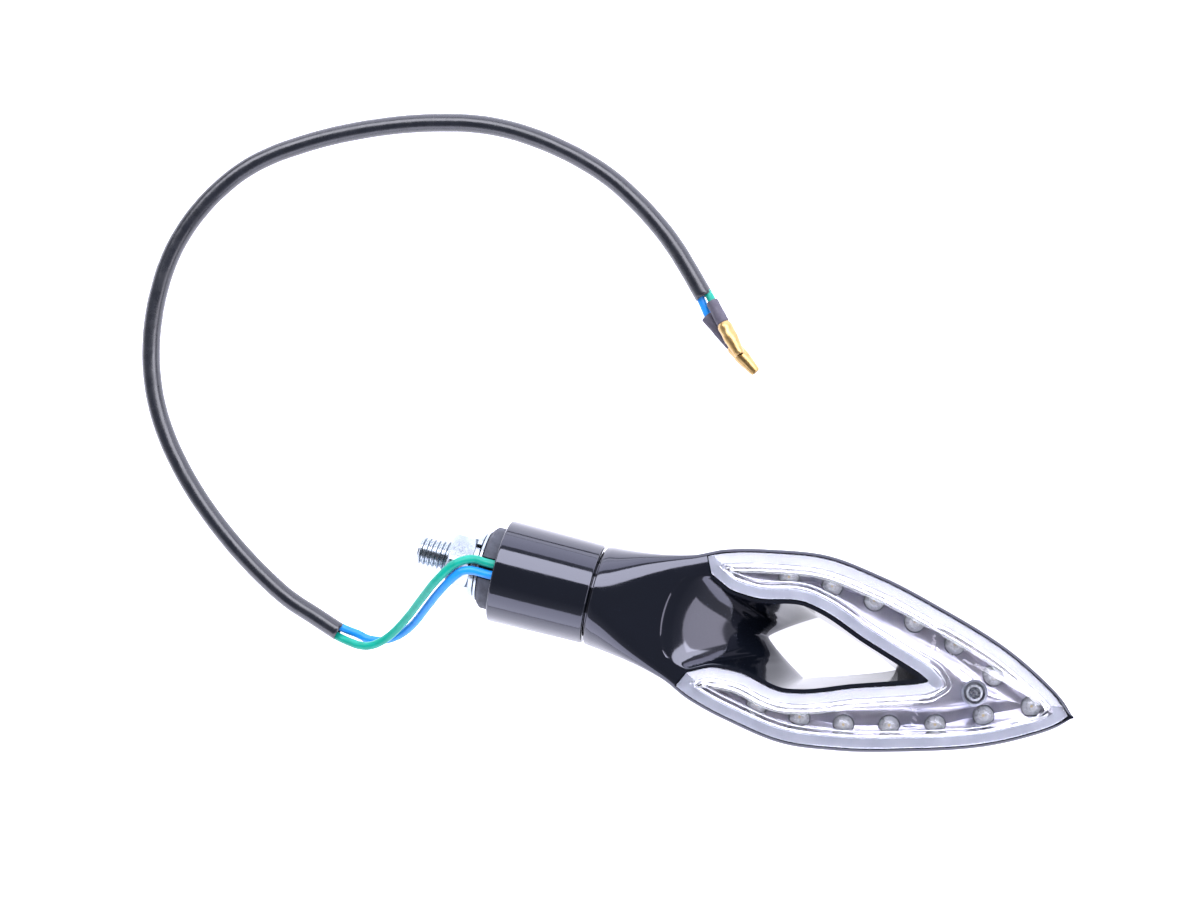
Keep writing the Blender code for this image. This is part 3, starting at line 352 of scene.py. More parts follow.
def piece(name, bm, look, body, slot, *nodes, sharp=35.0, in_lamp=True):
    """Finish a bmesh made in mm as an object of the frame."""
    close_up(bm)
    if in_lamp:
        bmesh.ops.translate(bm, vec=(PARTING_X, 0.0, AXIS_Z), verts=bm.verts)
    bmesh.ops.scale(bm, vec=(MM, MM, MM), verts=bm.verts)
    mesh = bpy.data.meshes.new(name)
    bm.to_mesh(mesh)
    bm.free()
    mesh.shade_smooth()
    mesh.set_sharp_from_angle(angle=math.radians(sharp))
    mesh.materials.append(look)
    made = bpy.data.objects.new(name, mesh)
    bpy.context.scene.collection.objects.link(made)
    if nodes:
        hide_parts(*nodes)
    if body:
        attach(made, body)
    print(name, len(mesh.polygons), "faces")
    return made


# %% Helpers for materials
def linear(colour):
    """An sRGB hex colour as the linear RGBA that shaders want."""
    parts = [int(colour[k:k + 2], 16) / 255 for k in (1, 3, 5)]
    return [c / 12.92 if c <= 0.04045 else ((c + 0.055) / 1.055) ** 2.4 for c in parts] + [1.0]


def add(tree, kind, inputs=None, **settings):
    """One node in a tree; its inputs, by name or number, are values or outputs to link."""
    made = tree.nodes.new("ShaderNode" + kind)
    for key, value in settings.items():
        setattr(made, key, value)
    for key, value in (inputs or {}).items():
        if isinstance(value, bpy.types.NodeSocket):
            tree.links.new(value, made.inputs[key])
        else:
            made.inputs[key].default_value = value
    return made


def grained(name, dark, light, patch_mm, rough, grain_mm, depth_mm, fixed):
    """A finish whose colour drifts in patches, and whose gloss and height follow a finer grain."""
    look = bpy.data.materials.new(name)
    look.use_nodes = True
    tree = look.node_tree
    tree.nodes.clear()
    at = add(tree, "TexCoord").outputs["Object"]
    patch = add(tree, "TexNoise", {"Vector": at, "Scale": 1.0 / (patch_mm * MM), "Detail": 3.0})
    tint = add(tree, "Mix", {0: patch.outputs["Fac"], 6: linear(dark), 7: linear(light)}, data_type="RGBA")
    grain = add(tree, "TexNoise", {"Vector": at, "Scale": 1.0 / (grain_mm * MM), "Detail": 3.0})
    gloss = add(tree, "MapRange", {"Value": grain.outputs["Fac"], "From Min": 0.3, "From Max": 0.7,
                                   "To Min": rough[0], "To Max": rough[1]})
    lift = add(tree, "Bump", {"Height": grain.outputs["Fac"], "Distance": depth_mm * MM, "Strength": 1.0})
    skin = add(tree, "BsdfPrincipled", {"Base Color": tint.outputs[2], "Roughness": gloss.outputs["Result"],
                                        "Normal": lift.outputs["Normal"], **fixed})
    add(tree, "OutputMaterial", {"Surface": skin.outputs["BSDF"]})
    print(name, len(tree.nodes), "nodes")
    return look


# %% [markdown]
# ## Plastics and rubber
# Each finish starts from the real stuff: what it is made of, and how its surface came about.
# One recipe serves them all, because a moulded, plated or extruded surface always has slow
# drifts of colour and a finer grain in its gloss and height. Only the sizes and amounts differ.

# %% Plastics and rubber
# Housing and stem: ABS from a polished tool. Near-black with a cold cast, mirror-like, with a
# faint ripple where the plastic cooled.
ABS = grained("glossy_black_abs", "#06080d", "#0a0d14", 14.0, (0.05, 0.11), 9.0, 0.03,
              {"IOR": 1.56, "Specular Tint": linear("#eef0ff")})
# Lens: clear polycarbonate. Water-clear, very bright at its edges, with slight flow waves.
LENS = grained("clear_polycarbonate", "#f7f9fd", "#ffffff", 12.0, (0.008, 0.025), 9.0, 0.012,
               {"IOR": 1.585, "Transmission Weight": 1.0})
# LED: cast epoxy that glows milky white where light collects in its dome.
EPOXY = grained("cast_clear_epoxy", "#f1f3f8", "#ffffff", 2.0, (0.02, 0.06), 2.0, 0.01,
                {"IOR": 1.53, "Transmission Weight": 0.76})
# Plug: moulded rubber. Matte, finely pitted, greyer where it has been handled.
RUBBER = grained("moulded_rubber", "#1e2026", "#454851", 2.6, (0.60, 0.82), 0.4, 0.05,
                 {"Specular IOR Level": 0.3})
# Leads and sheath: extruded soft PVC. Waxy, with shallow dents left by coiling.
WAXY = {"IOR": 1.53, "Specular IOR Level": 0.22}
GREEN = grained("green_soft_pvc", "#006a58", "#008c78", 2.2, (0.32, 0.44), 5.0, 0.05, WAXY)
BLUE = grained("blue_soft_pvc", "#0a62a6", "#1c80cc", 2.2, (0.32, 0.44), 5.0, 0.05, WAXY)
SHEATH = grained("black_soft_pvc", "#0a0c11", "#14171e", 2.2, (0.20, 0.32), 5.0, 0.10, {"IOR": 1.53})
# Sleeves: polyolefin shrunk over the crimps. Dull grey-violet with fine wrinkles.
SHRINK = grained("shrunk_polyolefin", "#211f28", "#474350", 2.0, (0.55, 0.80), 0.9, 0.08, {})
# Inside the lamp: solder mask, a lacquered resistor and a black epoxy diode.
BOARD = grained("green_solder_mask", "#0d3a22", "#1b5a35", 0.8, (0.35, 0.50), 0.8, 0.02, {})
RESISTOR = grained("lacquered_resistor", "#a98a5c", "#cbb083", 0.8, (0.40, 0.55), 0.8, 0.02, {})
BLACK_EPOXY = grained("black_epoxy", "#101114", "#26272b", 0.8, (0.40, 0.55), 0.8, 0.02, {})

# %% [markdown]
# ## Metals
# A metal's colour is its reflection, so these stay a little darker than they look: the light
# table and the panels are what turn them white, and the dim ceiling draws the dark lines.

# %% Metals
METAL = {"Metallic": 1.0}
# Reflector: aluminium a fraction of a micron thick on moulded plastic. Bright, soft and
# slightly uneven, with the plastic's orange peel showing through.
CHROME = grained("metallised_plastic", "#7f86a0", "#f1e9ec", 9.0, (0.10, 0.22), 3.2, 0.010,
                 {"Metallic": 0.66})
# Lip of the reflector: the same film over a satin tool, so it is paler and flatter.
SATIN_SILVER = grained("satin_silver_plastic", "#a4a7b4", "#c9ccd6", 6.0, (0.34, 0.48), 0.6, 0.02,
                       {"Metallic": 0.30})
# Stud, nut and washers: bright zinc plate on steel. Pale, faintly blue, crystalline satin.
ZINC = grained("bright_zinc_plate", "#737b82", "#a6aeb4", 4.0, (0.17, 0.32), 0.35, 0.012, METAL)
# Terminals: turned brass, lightly tarnished.
BRASS = grained("turned_brass", "#86683a", "#b49a6a", 1.6, (0.26, 0.40), 0.25, 0.006, METAL)
STEEL = grained("screw_steel", "#8d9096", "#c3c6ca", 0.5, (0.22, 0.38), 0.5, 0.01, METAL)

for cord_object, look in ((leads["green"], GREEN), (leads["blue"], BLUE), (sheath, SHEATH)):
    cord_object.data.materials.append(look)

# %% [markdown]
# ## Table and light
# Small glossy things are shown on a sheet of opal acrylic lit from below, so that no hard
# shadow forms and light comes up through every hole. Long lights beside the signal draw the
# pale bands along the stem, and the ceiling is dim, so the glossy plastic stays black on top.

# %% Table
bm = bmesh.new()
bmesh.ops.create_grid(bm, x_segments=2, y_segments=2, size=3.0)
bmesh.ops.translate(bm, vec=(0, 0, -0.0002), verts=bm.verts)
card = bpy.data.meshes.new("table")
bm.to_mesh(card)
bm.free()
card.materials.append(grained("opal_acrylic", "#f1f1f7", "#f8f8fc", 60.0, (0.80, 0.90), 30.0, 0.01,
                              {"Specular IOR Level": 0.1, "Emission Color": linear("#f2f2fc"),
                               "Emission Strength": 1.2}))
table = bpy.data.objects.new("table", card)
bpy.context.scene.collection.objects.link(table)


# %% Lights
def soft_light(name, place, size, watts, colour):
    """A flat soft light that faces the middle of the table."""
    lamp = bpy.data.lights.new(name, "AREA")
    lamp.shape = "RECTANGLE"
    lamp.size, lamp.size_y = size
    lamp.energy = watts
    lamp.color = linear(colour)[:3]
    made = bpy.data.objects.new(name, lamp)
    made.location = place
    made.rotation_euler = (-Vector(place)).to_track_quat("-Z", "Y").to_euler()
    bpy.context.scene.collection.objects.link(made)
    print(name, watts, "W")


soft_light("long_softbox", (0.0, 0.60, 0.90), (2.4, 0.60), 45.0, "#f3f3ff")
soft_light("far_panel", (0.0, 1.25, 0.36), (2.8, 0.70), 22.0, "#e4e4fb")
soft_light("near_panel", (0.0, -1.25, 0.42), (2.8, 0.80), 30.0, "#e6e6fb")
soft_light("tip_panel", (1.2, 0.1, 0.75), (1.2, 0.6), 10.0, "#f6f2ff")

# %% Dim ceiling
world = bpy.data.worlds.new("studio")
world.use_nodes = True
world.node_tree.nodes.clear()
bpy.context.scene.world = world
direction = add(world.node_tree, "TexCoord").outputs["Generated"]
height = add(world.node_tree, "SeparateXYZ", {0: direction}).outputs["Z"]
glow = add(world.node_tree, "MapRange", {"Value": height, "From Min": 0.15, "From Max": 0.85,
                                         "To Min": 1.25, "To Max": 0.26}).outputs["Result"]
sky = add(world.node_tree, "Background", {"Color": linear("#eeeefb"), "Strength": glow})
add(world.node_tree, "OutputWorld", {"Surface": sky.outputs["Background"]})

# %% [markdown]
# ## The head's outlines
# The head is an arrow with two arms. Its outlines are smooth curves through a few measured
# points, and lens, reflector, pocket and ledge all share them, each drawn in by its own inset.

# %% Outline curves
def curve_through(knots):
    """A smooth function through the knots that never swings past them."""
    x = np.array([k[0] for k in knots])
    y = np.array([k[1] for k in knots])
    step = np.diff(x)
    rise = np.diff(y) / step
    slope = np.zeros(len(x))
    slope[0], slope[-1] = rise[0], rise[-1]
    for i in range(1, len(x) - 1):
        if rise[i - 1] * rise[i] > 0:
            w1, w2 = 2 * step[i] + step[i - 1], step[i] + 2 * step[i - 1]
            slope[i] = (w1 + w2) / (w1 / rise[i - 1] + w2 / rise[i])

    def value(at):
        at = min(max(at, x[0]), x[-1])
        i = min(int(np.searchsorted(x, at, side="right")) - 1, len(step) - 1)
        t = (at - x[i]) / step[i]
        return float((1 + 2 * t) * (1 - t) ** 2 * y[i] + t * (1 - t) ** 2 * step[i] * slope[i]
                     + t * t * (3 - 2 * t) * y[i + 1] + t * t * (t - 1) * step[i] * slope[i + 1])
    return value


def smooth_step(at, start, end):
    t = min(max((at - start) / (end - start), 0.0), 1.0)
    return t * t * (3 - 2 * t)


outer_share = curve_through(((0.0, NECK_RADIUS / HEAD_HALF_WIDTH),) + OUTER_EDGE)
inner_share = curve_through(INNER_EDGE)
led_share = curve_through(LED_ROW)
back_share = curve_through(BACK_LINE)


def half_width(x):
    return outer_share(x / HEAD_LENGTH) * HEAD_HALF_WIDTH


def inner_edge(x):
    return inner_share(x / HEAD_LENGTH) * HEAD_HALF_WIDTH


def led_line(x):
    return led_share(x / HEAD_LENGTH) * HEAD_HALF_WIDTH


def seat(x):
    """Height of the lens seat, level at the arms' roots and bending down from there."""
    run = (x / HEAD_LENGTH - ARM_ROOT) / (1 - ARM_ROOT)
    return SEAT_HEIGHT - SEAT_FALL * run * run


def rim_top(x):
    return seat(x) + LENS_FLANGE


DECK_START, DECK_END = ARM_ROOT * HEAD_LENGTH, 0.94 * HEAD_LENGTH
DECK_SLOPE = (seat(DECK_END) - seat(DECK_START)) / (DECK_END - DECK_START)
DECK_TURN = Matrix.Rotation(-math.atan(DECK_SLOPE), 3, "Y")
LENS_INSET = RIM + GAP
POCKET_INSET = RIM + LEDGE


def deck(x):
    """Face of the flat board, which follows the chord of the bent seat."""
    return seat(DECK_START) + DECK_SLOPE * (x - DECK_START) - BOARD_DROP


# %% The arrow that lens, reflector and pocket share
def edge_slope(edge, x):
    x = min(x, HEAD_LENGTH - 0.1)
    return (edge(x + 0.1) - edge(x - 0.1)) / 0.2


def arm_line(t, inset):
    """Ends of one line across an arm; t runs from the arm's root to the tip."""
    ax = HEAD_LENGTH * (ARM_ROOT + (1 - ARM_ROOT) * t)
    start, notch = INNER_EDGE[0][0], INNER_EDGE[-1][0]
    bx = HEAD_LENGTH * (start + (notch - start) * math.sin(t * math.pi / 2))
    a, b = Vector((ax, half_width(ax))), Vector((bx, inner_edge(bx)))
    if t >= 1.0:
        a.y = b.y = 0.0
    across = (b - a).normalized()
    into_a = Vector((edge_slope(half_width, ax), -1.0)).normalized()
    into_b = Vector((-edge_slope(inner_edge, bx), 1.0)).normalized()
    return (a + across * (inset / max(across.dot(into_a), 0.5)),
            b - across * (inset / max(-across.dot(into_b), 0.75)))


def led_share_across(a, b):
    """Where the LED row crosses a line from a to b, as a share of the line."""
    low, high = 0.0, 1.0
    for _ in range(30):
        mid = (low + high) / 2
        p = a.lerp(b, mid)
        if p.x >= LED_LAST * HEAD_LENGTH or p.y > led_line(p.x):
            low = mid
        else:
            high = mid
    return low


def arrow_plan(inset, rows, shares, crease=False):
    """Plan points over both arms, rows along the arrow and shares across it."""
    first = inset / (HEAD_LENGTH * (1 - ARM_ROOT))
    half = []
    for k in range(rows):
        a, b = arm_line(first + (1 - first) * k / (rows - 1), inset)
        middle = led_share_across(a, b) if crease else 0.5
        half.append([a.lerp(b, 2 * u * middle if u <= 0.5 else middle + (2 * u - 1) * (1 - middle))
                     for u in shares])
    return half + [[Vector((p.x, -p.y)) for p in line] for line in reversed(half[:-1])]


def arrow_border(inset, rows, shares, crease=False):
    plan = arrow_plan(inset, rows, shares, crease)
    n, m = len(plan), len(shares)
    return ([plan[i][0] for i in range(n)] + [plan[n - 1][j] for j in range(1, m)]
            + [plan[i][m - 1] for i in range(n - 2, -1, -1)] + [plan[0][j] for j in range(m - 2, 0, -1)])


def arrow_body(layers, rows, shares, crease=False):
    """Closed body over the arrow: layers of (inset, height rule), the first and last capped."""
    bm = bmesh.new()
    borders = [(arrow_border(inset, rows, shares, crease), height) for inset, height in layers]
    count = len(borders[0][0])

    def wall_point(i, j):
        border, height = borders[i]
        p = border[j % count]
        return p.x, p.y, height(p.x, p.y)
    sheet(bm, len(layers), count + 1, wall_point)
    for inset, height in (layers[0], layers[-1]):
        plan = arrow_plan(inset, rows, shares, crease)
        sheet(bm, len(plan), len(shares), lambda i, j: (plan[i][j].x, plan[i][j].y,
                                                        height(plan[i][j].x, plan[i][j].y)))
    return close_up(bm)


ROWS = 57
SHARES = (0.0, 0.06, 0.14, 0.25, 0.38, 0.5, 0.62, 0.75, 0.86, 0.94, 1.0)

# %% [markdown]
# ## Head housing
# One glossy moulding: a round neck that spreads into the arrow, with a scooped bowl that runs
# down into a kite-shaped hole. We skin rings of sections along X, then carve the hole, the
# ledge for the lens and the pocket for the lamp, because carving keeps each rule simple.

# %% Head sections
def section_sizes(x):
    """Centre, top and back heights, the squareness of top and bottom, and the back's hollow."""
    blend = smooth_step(x, 0.0, ARM_ROOT * HEAD_LENGTH)
    top = (1 - blend) * NECK_RADIUS + blend * rim_top(x)
    back = back_share(x / HEAD_LENGTH) * BACK_DEPTH
    return blend * (rim_top(x) - 3.5), top, back, 2 + 3 * blend, 2 + blend, GROOVE_DEPTH * blend


def back_rule(x):
    """The height of the head's back across one section, as a function of y."""
    centre, _, back, _, power, groove = section_sizes(x)
    width = max(half_width(x), 0.3)
    depth = centre + back

    def raw(side):
        share = min(abs(side) / width, 1.0)
        hollow = max(1 - (side / GROOVE_HALF_WIDTH) ** 2, 0.0) ** 2 * groove
        return -depth * (1 - share ** power) ** (1 / power) + hollow * (1 - share)
    scale = depth / -min(raw(width * k / 24) for k in range(25))
    return lambda y: centre + raw(y) * scale


def head_ring(x, points, shrink=0.0):
    centre, top, _, top_power, low_power, _ = section_sizes(x)
    width = max(half_width(x), 0.3)
    back = back_rule(x)
    ring = []
    for k in range(points):
        a = 2 * math.pi * k / points
        c, s = math.cos(a), math.sin(a)
        power = top_power if s >= 0 else low_power
        y = width * math.copysign(abs(c) ** (2 / power), c)
        z = centre + (top - centre) * abs(s) ** (2 / power) if s >= 0 else back(y)
        size = 1 - shrink / width
        ring.append((x, y * size, centre + (z - centre) * size))
    return ring


def head_skin():
    points = 112
    spigot = [[(x, PLUG_RADIUS * math.cos(2 * math.pi * k / points),
                PLUG_RADIUS * math.sin(2 * math.pi * k / points)) for k in range(points)]
              for x in (-SPIGOT_LENGTH, PARTING_GAP / 2)]
    lip = [head_ring(PARTING_GAP / 2, points, 0.45), head_ring(0.5, points, 0.15), head_ring(0.8, points)]
    stations = [HEAD_LENGTH * k / 112 for k in range(2, 111)] + [HEAD_LENGTH * 0.995, HEAD_LENGTH]
    return skin(spigot + lip + [head_ring(x, points) for x in stations])


# %% The scooped bowl and its hole
def bowl_tool():
    """The tool that carves the bowl, flared at the brim so that the edge comes out rounded."""
    front = BOWL_FRONT * HEAD_LENGTH
    start = INNER_EDGE[0][0] * HEAD_LENGTH
    side = inner_edge(start)
    notch = INNER_EDGE[-1][0] * HEAD_LENGTH
    upper = [(start - (start - front) * math.cos(a), side * math.sin(a))
             for a in (math.pi / 2 * k / 16 for k in range(16))]
    upper += [(x, inner_edge(x)) for x in np.linspace(start, notch, 48)]
    window = [(x * HEAD_LENGTH, y * HEAD_HALF_WIDTH) for x, y in WINDOW]
    shift = curve_through(((front, window[0][0]), (start, window[0][0] + 3.2),
                           (0.37 * HEAD_LENGTH, 0.43 * HEAD_LENGTH), (0.43 * HEAD_LENGTH, window[1][0]),
                           (notch, window[2][0])))

    def kite(x):
        if x < window[1][0]:
            share = (x - window[0][0]) / (window[1][0] - window[0][0])
        else:
            share = (window[2][0] - x) / (window[2][0] - window[1][0])
        return window[1][1] * max(share, 0.0) ** 0.85

    floor, brim = -BACK_DEPTH + 1.5, rim_top(front)
    heights = [-BACK_DEPTH - 3.0] + [floor + (brim - floor) * k / 26 for k in range(25)]
    heights += [brim - 0.6, brim - 0.3, brim - 0.1, brim, brim + 0.35, brim + 0.8, brim + 6.0]
    rings = []
    for z in heights:
        rise = min(max((z - floor) / (brim - floor), 0.0), 1.0)
        ring = []
        for k, (x, y) in enumerate(upper):
            share = rise ** (1.6 - 0.6 * smooth_step(x, start, 0.5 * HEAD_LENGTH))
            below = shift(x)
            radius = 0.35 + 2.0 * (1 - smooth_step(x, front + 1.5, start - 0.5))
            under_brim = max(radius - (brim - z), 0.0)
            flare = radius - math.sqrt(max(radius ** 2 - min(under_brim, radius) ** 2, 0.0))
            flare += max(z - brim, 0.0) * 1.6 * (radius > 1.0)
            before, after = upper[max(k - 1, 0)], upper[min(k + 1, len(upper) - 1)]
            out = Vector((before[1] - after[1], after[0] - before[0])).normalized() if k else Vector((-1, 0))
            ring.append((below + (x - below) * share + out.x * flare,
                         kite(below) * (1 - share) + y * share
                         + max(out.y, 0.0) * flare * (k < len(upper) - 1), z))
        rings.append(ring + [(x, -y, z) for x, y, z in reversed(ring[1:-1])])
    return skin(rings)


# %% Carve the housing
def lathe_tool(profile, steps=32, axis="Z", place=(0, 0, 0)):
    return move(spun([(profile[0][0], 0.0)] + list(profile) + [(profile[-1][0], 0.0)], steps, axis), place)


def head_housing():
    at = BOSS_AT * HEAD_LENGTH
    floor = back_rule(at)(0.0)
    shelf = deck(at) - BOARD_THICKNESS - GAP - POST_RADIUS * abs(DECK_SLOPE)
    bore = PLUG_RADIUS - SPIGOT_WALL
    backs = {}

    def pocket_floor(x, y):
        key = round(x, 1)
        if key not in backs:
            backs[key] = back_rule(key)
        return backs[key](y) + HEAD_WALL
    pocket = arrow_body([(POCKET_INSET, pocket_floor), (POCKET_INSET, lambda x, y: rim_top(x) + 5.0)],
                        33, (0.0, 0.25, 0.5, 0.75, 1.0))
    rebate = arrow_body([(RIM, lambda x, y: seat(x) - GAP), (RIM, lambda x, y: rim_top(x) + 6.0)],
                        ROWS, (0.0, 0.25, 0.5, 0.75, 1.0))
    steps = [("DIFFERENCE", bowl_tool()), ("DIFFERENCE", rebate), ("DIFFERENCE", pocket),
             ("DIFFERENCE", lathe_tool([(-8.0, bore), (14.0, bore), (17.0, bore * 0.6)], 48, "X")),
             ("UNION", lathe_tool([(floor + 1.0, BOSS_RADIUS), (shelf, POST_RADIUS)], place=(at, 0, 0))),
             ("DIFFERENCE", lathe_tool([(floor - 2.0, SCREW_HEAD_RADIUS + GAP),
                                        (floor + SCREW_HEAD_HEIGHT + GAP, SCREW_HEAD_RADIUS + GAP),
                                        (floor + SCREW_HEAD_HEIGHT + GAP, SCREW_RADIUS + GAP),
                                        (shelf + 1.0, SCREW_RADIUS + GAP)], place=(at, 0, 0)))]
    return carved(head_skin(), steps)


piece("housing", head_housing(), ABS, "lamp", "black_abs", "head_housing", sharp=28.0)

# %% [markdown]
# ## Stem
# A short tapered tube that covers the rubber plug, with a groove inside for the leads. A lathe
# profile gives its rounded ends, and one block carves the groove.

# %% Stem sleeve
def rounded(profile, radius, segments=4):
    """The closed profile with each corner rounded by a small radius."""
    out = []
    count = len(profile)
    for k in range(count):
        before, corner, after = (Vector(profile[(k + d) % count]) for d in (-1, 0, 1))
        reach = min(radius, (before - corner).length / 2.2, (after - corner).length / 2.2)
        a = corner + (before - corner).normalized() * reach
        b = corner + (after - corner).normalized() * reach
        for i in range(segments + 1):
            t = i / segments
            out.append(tuple((1 - t) ** 2 * a + 2 * t * (1 - t) * corner + t * t * b))
    return out + out[:1]


def stem():
    end = -PARTING_GAP / 2
    outline = [(STEM_BASE, STEM_BORE), (STEM_BASE, STEM_BASE_RADIUS), (end, NECK_RADIUS), (end, STEM_BORE)]
    side = LEAD_SIDE + WIRE_RADIUS + TILT_ROOM
    groove = block((STEM_BASE - 1.0, -side, 0.0),
                   (PLUG_FACE + PLUG_LENGTH + 4.0, side, LEAD_LIFT + WIRE_RADIUS + TILT_ROOM))
    return carved(spun(rounded(outline, 0.6), 128), [("DIFFERENCE", groove)])


piece("stem_cover", stem(), ABS, "lamp", "black_abs", "stem_sleeve")

# %% [markdown]
# ## Lens
# A clear moulding with a flat edge, a raised crown and a round button where the screw pulls it
# down. It is a real shell with an inner and an outer face, so that light bends as it should.

# %% Lens body
def dome(x, y):
    """Rise of the crown towards the middle of each arm."""
    width = max((half_width(x) - max(inner_edge(x), 0.0)) / 2, 4.0)
    middle = (half_width(x) + inner_edge(x)) / 2 if x < INNER_EDGE[-1][0] * HEAD_LENGTH else 0.0
    off = min(abs(abs(y) - middle) / width, 1.0)
    return LENS_DOME * (1 - off * off)


INSERT_RADIUS, INSERT_RISE = 2.0, 0.35     # threaded insert in the lens post, and its top over the seat


def lens():
    inside = LENS_INSET + LENS_FLANGE_WIDTH + LENS_WALL
    ceiling = LENS_CROWN - LENS_WALL
    foot_at = LENS_INSET + LENS_FLANGE_WIDTH

    def flat(rise):
        return lambda x, y: seat(x) + rise

    def domed(rise):
        return lambda x, y: seat(x) + rise + dome(x, y)
    layers = [(inside + 0.9, domed(ceiling)), (inside + 0.25, domed(ceiling - 0.15)),
              (inside, domed(ceiling - 0.7)), (inside, flat(0.0)), (LENS_INSET, flat(0.0)),
              (LENS_INSET, flat(LENS_FLANGE - 0.3)), (LENS_INSET + 0.1, flat(LENS_FLANGE - 0.09)),
              (LENS_INSET + 0.3, flat(LENS_FLANGE)), (foot_at - 0.25, flat(LENS_FLANGE)),
              (foot_at - 0.05, flat(LENS_FLANGE + 0.12)), (foot_at + 0.08, flat(LENS_FLANGE + 0.45)),
              (foot_at + 0.35, flat(LENS_CROWN - 0.75)), (foot_at + 0.6, flat(LENS_CROWN - 0.28)),
              (foot_at + 0.95, domed(LENS_CROWN - 0.1)), (foot_at + 1.3, domed(LENS_CROWN))]
    at = BOSS_AT * HEAD_LENGTH
    foot = deck(at) + GAP + POST_RADIUS * abs(DECK_SLOPE)
    top = seat(at) + LENS_CROWN - LENS_WALL / 2
    step = seat(at) + 1.0
    post = lathe_tool([(foot, POST_RADIUS), (step, POST_RADIUS), (step, BOSS_RADIUS), (top, BOSS_RADIUS)],
                      48, place=(at, 0, 0))
    pilot = lathe_tool([(foot - 1.0, INSERT_RADIUS + 0.05),
                        (seat(at) + INSERT_RISE + 0.05, INSERT_RADIUS + 0.05)],
                       40, place=(at, 0, 0))
    return carved(arrow_body(layers, ROWS, SHARES), [("UNION", post), ("DIFFERENCE", pilot)])


piece("lens", lens(), LENS, "lamp", "clear_lens", "front_lens", sharp=40.0)

# %% [markdown]
# ## Reflector and LEDs
# A bright V-shaped trough runs along both arms, with a hole for each LED. An LED is a clear
# epoxy bullet over two tinned posts, one of which holds a small cup with the chip.

# %% Reflector trough
def trough(x, y):
    middle = led_line(x) if x < LED_LAST * HEAD_LENGTH else 0.0
    high = seat(x) - REFLECTOR_DROP
    low = deck(x) + LED_COLLAR_HEIGHT + GAP + REFLECTOR_THICKNESS + GAP
    return low + (high - low) * min(abs(abs(y) - middle) / 5.5, 1.0)


def led_places():
    xs = [HEAD_LENGTH * (LED_FIRST + (LED_LAST - LED_FIRST) * k / LEDS_PER_ARM) for k in range(LEDS_PER_ARM)]
    places = [(x, led_line(x)) for x in xs]
    return places + [(LED_LAST * HEAD_LENGTH, 0.0)] + [(x, -y) for x, y in reversed(places)]


def tilted(x, y, lift):
    return (x - lift * DECK_SLOPE, y, deck(x) + lift)


def reflector():
    inset = POCKET_INSET + GAP
    body = arrow_body([(inset, lambda x, y: trough(x, y) - REFLECTOR_THICKNESS), (inset, trough)],
                      ROWS, SHARES, crease=True)
    at = BOSS_AT * HEAD_LENGTH
    steps = []
    for x, y in led_places():
        hole = lathe_tool([(0.0, LED_RADIUS + GAP), (8.0, LED_RADIUS + GAP)], 28)
        steps.append(("DIFFERENCE", move(hole, tilted(x, y, LED_COLLAR_HEIGHT / 2), DECK_TURN)))
    steps.append(("DIFFERENCE", lathe_tool([(deck(at) - 1.0, POST_RADIUS + GAP),
                                            (seat(at) + 3.0, POST_RADIUS + GAP)], 36, place=(at, 0, 0))))
    return carved(body, steps)


piece("reflector_trough", reflector(), CHROME, "lamp", "chrome_reflector", "reflector", sharp=50.0)


def reflector_flange():
    """The satin lip of the reflector that the lens edge rests on."""
    outer, inner = LENS_INSET + 0.15, POCKET_INSET + 1.2
    low, high = (lambda x, y: seat(x) - 0.24), (lambda x, y: seat(x) - 0.06)
    layers = [(inner, low), (outer, low), (outer, high), (inner, high), (inner, low)]
    bm = bmesh.new()
    borders = [(arrow_border(inset, ROWS, SHARES), height) for inset, height in layers]
    count = len(borders[0][0])

    def point(i, j):
        border, height = borders[i]
        p = border[j % count]
        return p.x, p.y, height(p.x, p.y)
    return sheet(bm, len(layers), count + 1, point)


piece("reflector_lip", reflector_flange(), SATIN_SILVER, "lamp", "chrome_reflector")


def post_tube():
    """The reflector's own tube round the lens post, a bright circle through the lens."""
    at = BOSS_AT * HEAD_LENGTH
    low, high, bore = trough(at, 0.0) - 0.1, seat(at) + 0.9, POST_RADIUS + 0.1
    wall = [(low, bore), (low, BOSS_RADIUS - 0.1), (high, BOSS_RADIUS - 0.1), (high, bore), (low, bore)]
    return move(spun(wall, 48, "Z"), (at, 0.0, 0.0))


def post_foil():
    """A thin bright ring on the board under the post, so that no green shows through it."""
    ring = spun([(0.02, 1.4), (0.02, POST_RADIUS), (0.07, POST_RADIUS), (0.07, 1.4), (0.02, 1.4)], 40, "Z")
    return move(ring, tilted(BOSS_AT * HEAD_LENGTH, 0.0, 0.0), DECK_TURN)


piece("post_tube", post_tube(), SATIN_SILVER, "lamp", "chrome_reflector")
piece("post_foil", post_foil(), SATIN_SILVER, "lamp", "chrome_reflector")


# %% LEDs
def led_epoxy():
    shoulder = LED_HEIGHT - 0.7 * LED_RADIUS
    profile = [(0.0, 0.0), (0.0, LED_COLLAR_RADIUS), (LED_COLLAR_HEIGHT - 0.1, LED_COLLAR_RADIUS),
               (LED_COLLAR_HEIGHT, LED_COLLAR_RADIUS - 0.1), (LED_COLLAR_HEIGHT, LED_RADIUS),
               (shoulder, LED_RADIUS)]
    profile += [(shoulder + 0.7 * LED_RADIUS * math.sin(math.radians(a)),
                 LED_RADIUS * math.cos(math.radians(a))) for a in range(9, 90, 9)]
    return spun(profile + [(LED_HEIGHT, 0.0)], 32, "Z")


